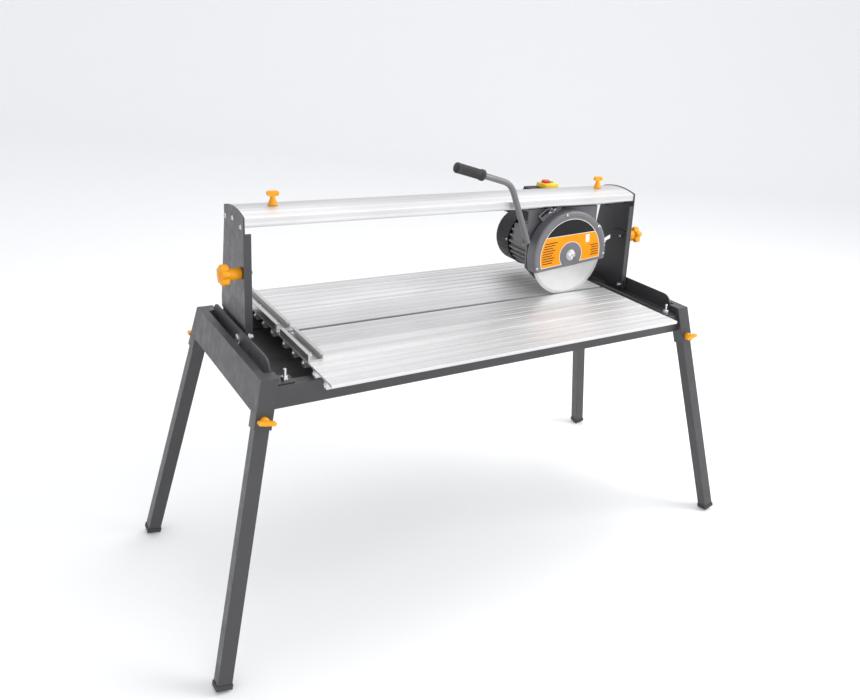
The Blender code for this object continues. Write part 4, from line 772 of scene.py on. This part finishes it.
def guard_hardware():
    """Cover screws on the guard's rim, and the wire clip at its right edge."""
    spots = [guard_point(99 * MM, angle, 15.5 * MM) for angle in (97, 189, 352)]
    screws("guard_screws", spots, (0, -1, 0), "guard", *GUARD_SCREW)
    foot = [(-8, 5, 16.5), (-2, 2.5, 14.5)]
    hook = [(-4, 35.5, 15), (-8, 34, 16.5)]
    foot, hook = [
        [guard_point(GUARD_RADIUS + out * MM, angle, forward * MM) for out, angle, forward in ends]
        for ends in (foot, hook)
    ]
    path = [guard_point(GUARD_RADIUS + 1.5 * MM, 4 + 30 * i / 16, CLIP_FORWARD) for i in range(17)]
    clip = tube(foot + path + hook, CLIP_WIRE)
    bosses = []
    for angle in (7, 30):
        boss = lathe(in_metres([(0, -4), (4, -4), (4, 2), (3.2, 3), (0, 3)]), 20)
        x, z = guard_turned(1, angle)
        boss.transform(aimed((x, 0, z), guard_point(GUARD_RADIUS - 0.5 * MM, angle, CLIP_FORWARD)))
        bosses.append(boss)
    place_piece("guard_clip", merged([clip] + bosses), zinc, "guard")


guard_shell()
guard_label()
guard_hardware()


# --- Table and fence hardware ---------------------------------------------------------------------
TABLE_SCREW_ROWS = 5
TABLE_SCREW_INSET = 23.5 * MM  # from the table's outer edge to the first screw boss
TABLE_SCREW_BOSS = 10 * MM
TABLE_SCREW_DROP = 11 * MM
FENCE_FOOT = 2.8 * MM
FENCE_SCREWS = {"front": (0.06, 0.80), "rear": (0.16, 0.55, 0.90)}  # shares of the fence's length
RAIL_SCREWS = ((0.09, 8.0), (0.52, 14.0), (0.91, 8.0))  # share of the rail's depth, millimetres up
END_RING_BORE = 54 * MM
STUD_RISE = 0.012  # the bracket's vertices above this are its studs' and walls'
STUD_SPAN = 0.0061
NUT_PROFILE = [(0, 0), (7.0, 0), (7.0, 5.4), (6.2, 6.4), (0, 6.4)]
NUT_SEAT, STUD_SEAT = 0.003, 0.0045  # above the bracket's underside


def table_screws():
    """End screws in the table's screw bosses."""
    outer = TABLE_REAR_HIGH.y - TABLE_SCREW_INSET
    first = outer - TABLE_SCREW_BOSS / 2
    span = outer - TABLE_SCREW_INSET - TABLE_REAR_LOW.y - TABLE_SCREW_BOSS
    height = TABLE_TOP - TABLE_SCREW_DROP
    for half, end in (("front", -1), ("rear", 1)):
        for side_name, side in SIDES.items():
            places = [
                (side * TABLE_HIGH.x, end * (first - span * i / (TABLE_SCREW_ROWS - 1)), height)
                for i in range(TABLE_SCREW_ROWS)
            ]
            screws(f"table_{half}_screws_{side_name}", places, (side, 0, 0), "stand", *TABLE_SCREW)


def fence_screws():
    """Screws along each fence's foot."""
    for end, shares in FENCE_SCREWS.items():
        low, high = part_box(f"fence_{end}")
        near, far = (high.y, low.y) if end == "front" else (low.y, high.y)
        x = (low.x + high.x) / 2
        places = [(x, near + (far - near) * share, low.z + FENCE_FOOT) for share in shares]
        screws(f"fence_{end}_screws", places, (0, 0, 1), "stand", *FENCE_SCREW)


def post_screws():
    """Three screws through each post into the rail's end."""
    depth = RAIL_HIGH.y - RAIL_LOW.y
    for side_name, side in SIDES.items():
        low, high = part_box(f"post_{side_name}")
        face = low.x if side < 0 else high.x
        places = [(face, RAIL_LOW.y + share * depth, RAIL_LOW.z + rise * MM) for share, rise in RAIL_SCREWS]
        screws(f"rail_screws_{side_name}", places, (side, 0, 0), "head", *POST_SCREW)


def motor_hardware():
    """Fan-cover screws, the cover's lip, and the ring that closes the motor's end behind the fan."""
    low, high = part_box("fan_cover")
    radius = (high.x - low.x) / 2
    shapes = []
    for angle in (60, 180, 300):
        turn = math.radians(angle)
        out = Vector((math.cos(turn), 0, math.sin(turn)))
        head = screw_head(*FAN_COVER_SCREW)
        middle = HUB + Vector((0, low.y + 7 * MM - HUB.y, 0))
        head.transform(aimed(out, middle + out * (radius - 0.2 * MM)))
        shapes.append(head)
    place_piece("fan_cover_screws", merged(shapes), zinc, "carriage")
    lip = in_metres([(-2, 0), (0.9, 0), (1.1, 1), (0.9, 3.4), (0.1, 4), (-2, 4)])
    ring = ring_of([(radius + out, z) for out, z in lip], 72)
    ring.transform(aimed((0, 1, 0), (HUB.x, low.y + 0.2 * MM, HUB.z)))
    place_piece("fan_cover_lip", ring, black, "carriage")
    end = min(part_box("cooling_fan")[0].y - 0.5 * MM, low.y + 3 * MM)
    thick, rim = end - low.y - 0.4 * MM, radius - 2.4 * MM
    disc = ring_of([(END_RING_BORE, 0), (rim, 0), (rim, thick), (END_RING_BORE, thick)], 72)
    disc.transform(aimed((0, 1, 0), (HUB.x, low.y + 0.4 * MM, HUB.z)))
    place_piece("motor_end_ring", disc, black, "carriage")


def switch_details():
    """Collars round the buttons."""
    collar = in_metres([(0.6, -1), (2.2, -1), (2.2, 0.7), (1.7, 1.3), (0.9, 1.3), (0.6, 0.9)])
    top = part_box("switch_frame")[1].z
    for node in ("stop_button", "start_button"):
        low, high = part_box(node)
        middle = (low + high) / 2
        radius = (high.x - low.x) / 2
        shape = ring_of([(radius + out, z) for out, z in collar], 48)
        shape.transform(Matrix.Translation((middle.x, middle.y, top)))
        place_piece(f"{node}_collar", shape, yellow, "carriage")


def bracket_nuts():
    """Bright nuts over the bracket studs on the front and rear rails."""
    for side_name in SIDES:
        node = f"end_bracket_{side_name}"
        points = [v.co for v in NODES[node].data.vertices]
        low = min(p.z for p in points)
        tall = [p for p in points if p.z > low + STUD_RISE]
        shapes = []
        for end in (-1, 1):
            reach = max(end * p.y for p in tall)
            stud = [p for p in tall if end * p.y > reach - STUD_SPAN]
            xs, ys = [p.x for p in stud], [p.y for p in stud]
            middle = Vector(((min(xs) + max(xs)) / 2, (min(ys) + max(ys)) / 2, 0))
            length = max(p.z for p in stud) - low - 4 * MM
            nut = lathe(in_metres(NUT_PROFILE), 6)
            nut.transform(Matrix.Translation((middle.x, middle.y, low + NUT_SEAT)))
            tip = lathe([(0, 0), (3.3 * MM, 0), (3.3 * MM, length - MM), (2.4 * MM, length), (0, length)], 16)
            tip.transform(Matrix.Translation((middle.x, middle.y, low + STUD_SEAT)))
            shapes += [nut, tip]
        place_piece(f"bracket_nuts_{side_name}", merged(shapes), zinc, "stand")


table_screws()
bracket_nuts()
fence_screws()
post_screws()
motor_hardware()
switch_details()


# --- Studio ---------------------------------------------------------------------------------------
LIGHTS = {  # place, watts and width
    "key_light": ((2.3, -1.7, 2.3), 56, 1.8),
    "top_light": ((0.5, 0.5, 3.0), 26, 2.2),
    "fill_light": ((-0.6, -3.2, 1.5), 14, 1.6),
}
LIGHT_AIM = Vector((0, 0, 0.5))
SKY_STRENGTH = 0.92
CAMERA_PLACE = (-0.907, -1.502, 0.533 + 0.606)
CAMERA_YAW = 0.6527
CAMERA_PITCH = 0.2868
CAMERA_ROLL = 0.0876
FOCAL_WIDTHS = 0.97290698  # focal length in picture widths
CENTRE_RIGHT = 0.14023256  # the lens axis from the picture's centre, in picture widths
CENTRE_UP = 0.08744186
SENSOR_WIDTH = 36


def studio():
    """A pale floor that curves up behind, and soft lights."""
    backdrop = bmesh.new()
    radius, near, far, wide, tall = 1.6, -6.0, 5.0, 9.0, 7.0
    bend = [(far + radius * math.sin(t), radius - radius * math.cos(t)) for t in
            (math.radians(90 * i / 16) for i in range(17))]
    profile = [(near, 0.0)] + bend + [(far + radius, tall)]
    rows = [[backdrop.verts.new((x, y, z)) for x in (-wide, wide)] for y, z in profile]
    for row, following in zip(rows, rows[1:]):
        backdrop.faces.new((row[0], row[1], following[1], following[0]))
    mesh = bpy.data.meshes.new("backdrop")
    backdrop.to_mesh(mesh)
    backdrop.free()
    mesh.shade_smooth()
    mesh.materials.append(studio_finish("studio_floor", FLOOR_PALE).material)
    floor = bpy.data.objects.new("backdrop", mesh)
    floor.rotation_euler.z = -CAMERA_YAW
    bpy.context.scene.collection.objects.link(floor)

    world = bpy.data.worlds.new("studio_sky")
    world.use_nodes = True
    sky = world.node_tree.nodes["Background"].inputs
    sky["Color"].default_value = (*SKY_PALE, 1)
    sky["Strength"].default_value = SKY_STRENGTH
    bpy.context.scene.world = world

    for name, (place, power, size) in LIGHTS.items():
        add_light(name, place, power, size)
    bpy.context.scene.view_settings.view_transform = "Standard"


def add_light(name, place, power, size):
    """A soft round light that points at the middle of the object."""
    light = bpy.data.lights.new(name, "AREA")
    light.energy = power
    light.shape = "DISK"
    light.size = size
    obj = bpy.data.objects.new(name, light)
    obj.location = place
    aim = LIGHT_AIM - Vector(place)
    obj.rotation_euler = aim.to_track_quat("-Z", "Y").to_euler()
    bpy.context.scene.collection.objects.link(obj)


def add_camera():
    """The camera, at the angle the object is shown from."""
    camera = bpy.data.cameras.new("camera")
    camera.sensor_width = SENSOR_WIDTH
    camera.lens = FOCAL_WIDTHS * camera.sensor_width
    camera.shift_x = -CENTRE_RIGHT
    camera.shift_y = -CENTRE_UP
    camera.clip_start = 0.05
    obj = bpy.data.objects.new("camera", camera)
    sin_yaw, cos_yaw = math.sin(CAMERA_YAW), math.cos(CAMERA_YAW)
    level, drop = math.cos(CAMERA_PITCH), math.sin(CAMERA_PITCH)
    forward = Vector((sin_yaw * level, cos_yaw * level, -drop))
    right = Vector((cos_yaw, -sin_yaw, 0))
    up = right.cross(forward)
    rolled = Matrix.Rotation(-CAMERA_ROLL, 3, forward)
    right, up = rolled @ right, rolled @ up
    facing = Matrix((right, up, -forward)).transposed().to_4x4()
    obj.matrix_world = Matrix.Translation(CAMERA_PLACE) @ facing
    bpy.context.scene.collection.objects.link(obj)
    bpy.context.scene.camera = obj


studio()
add_camera()
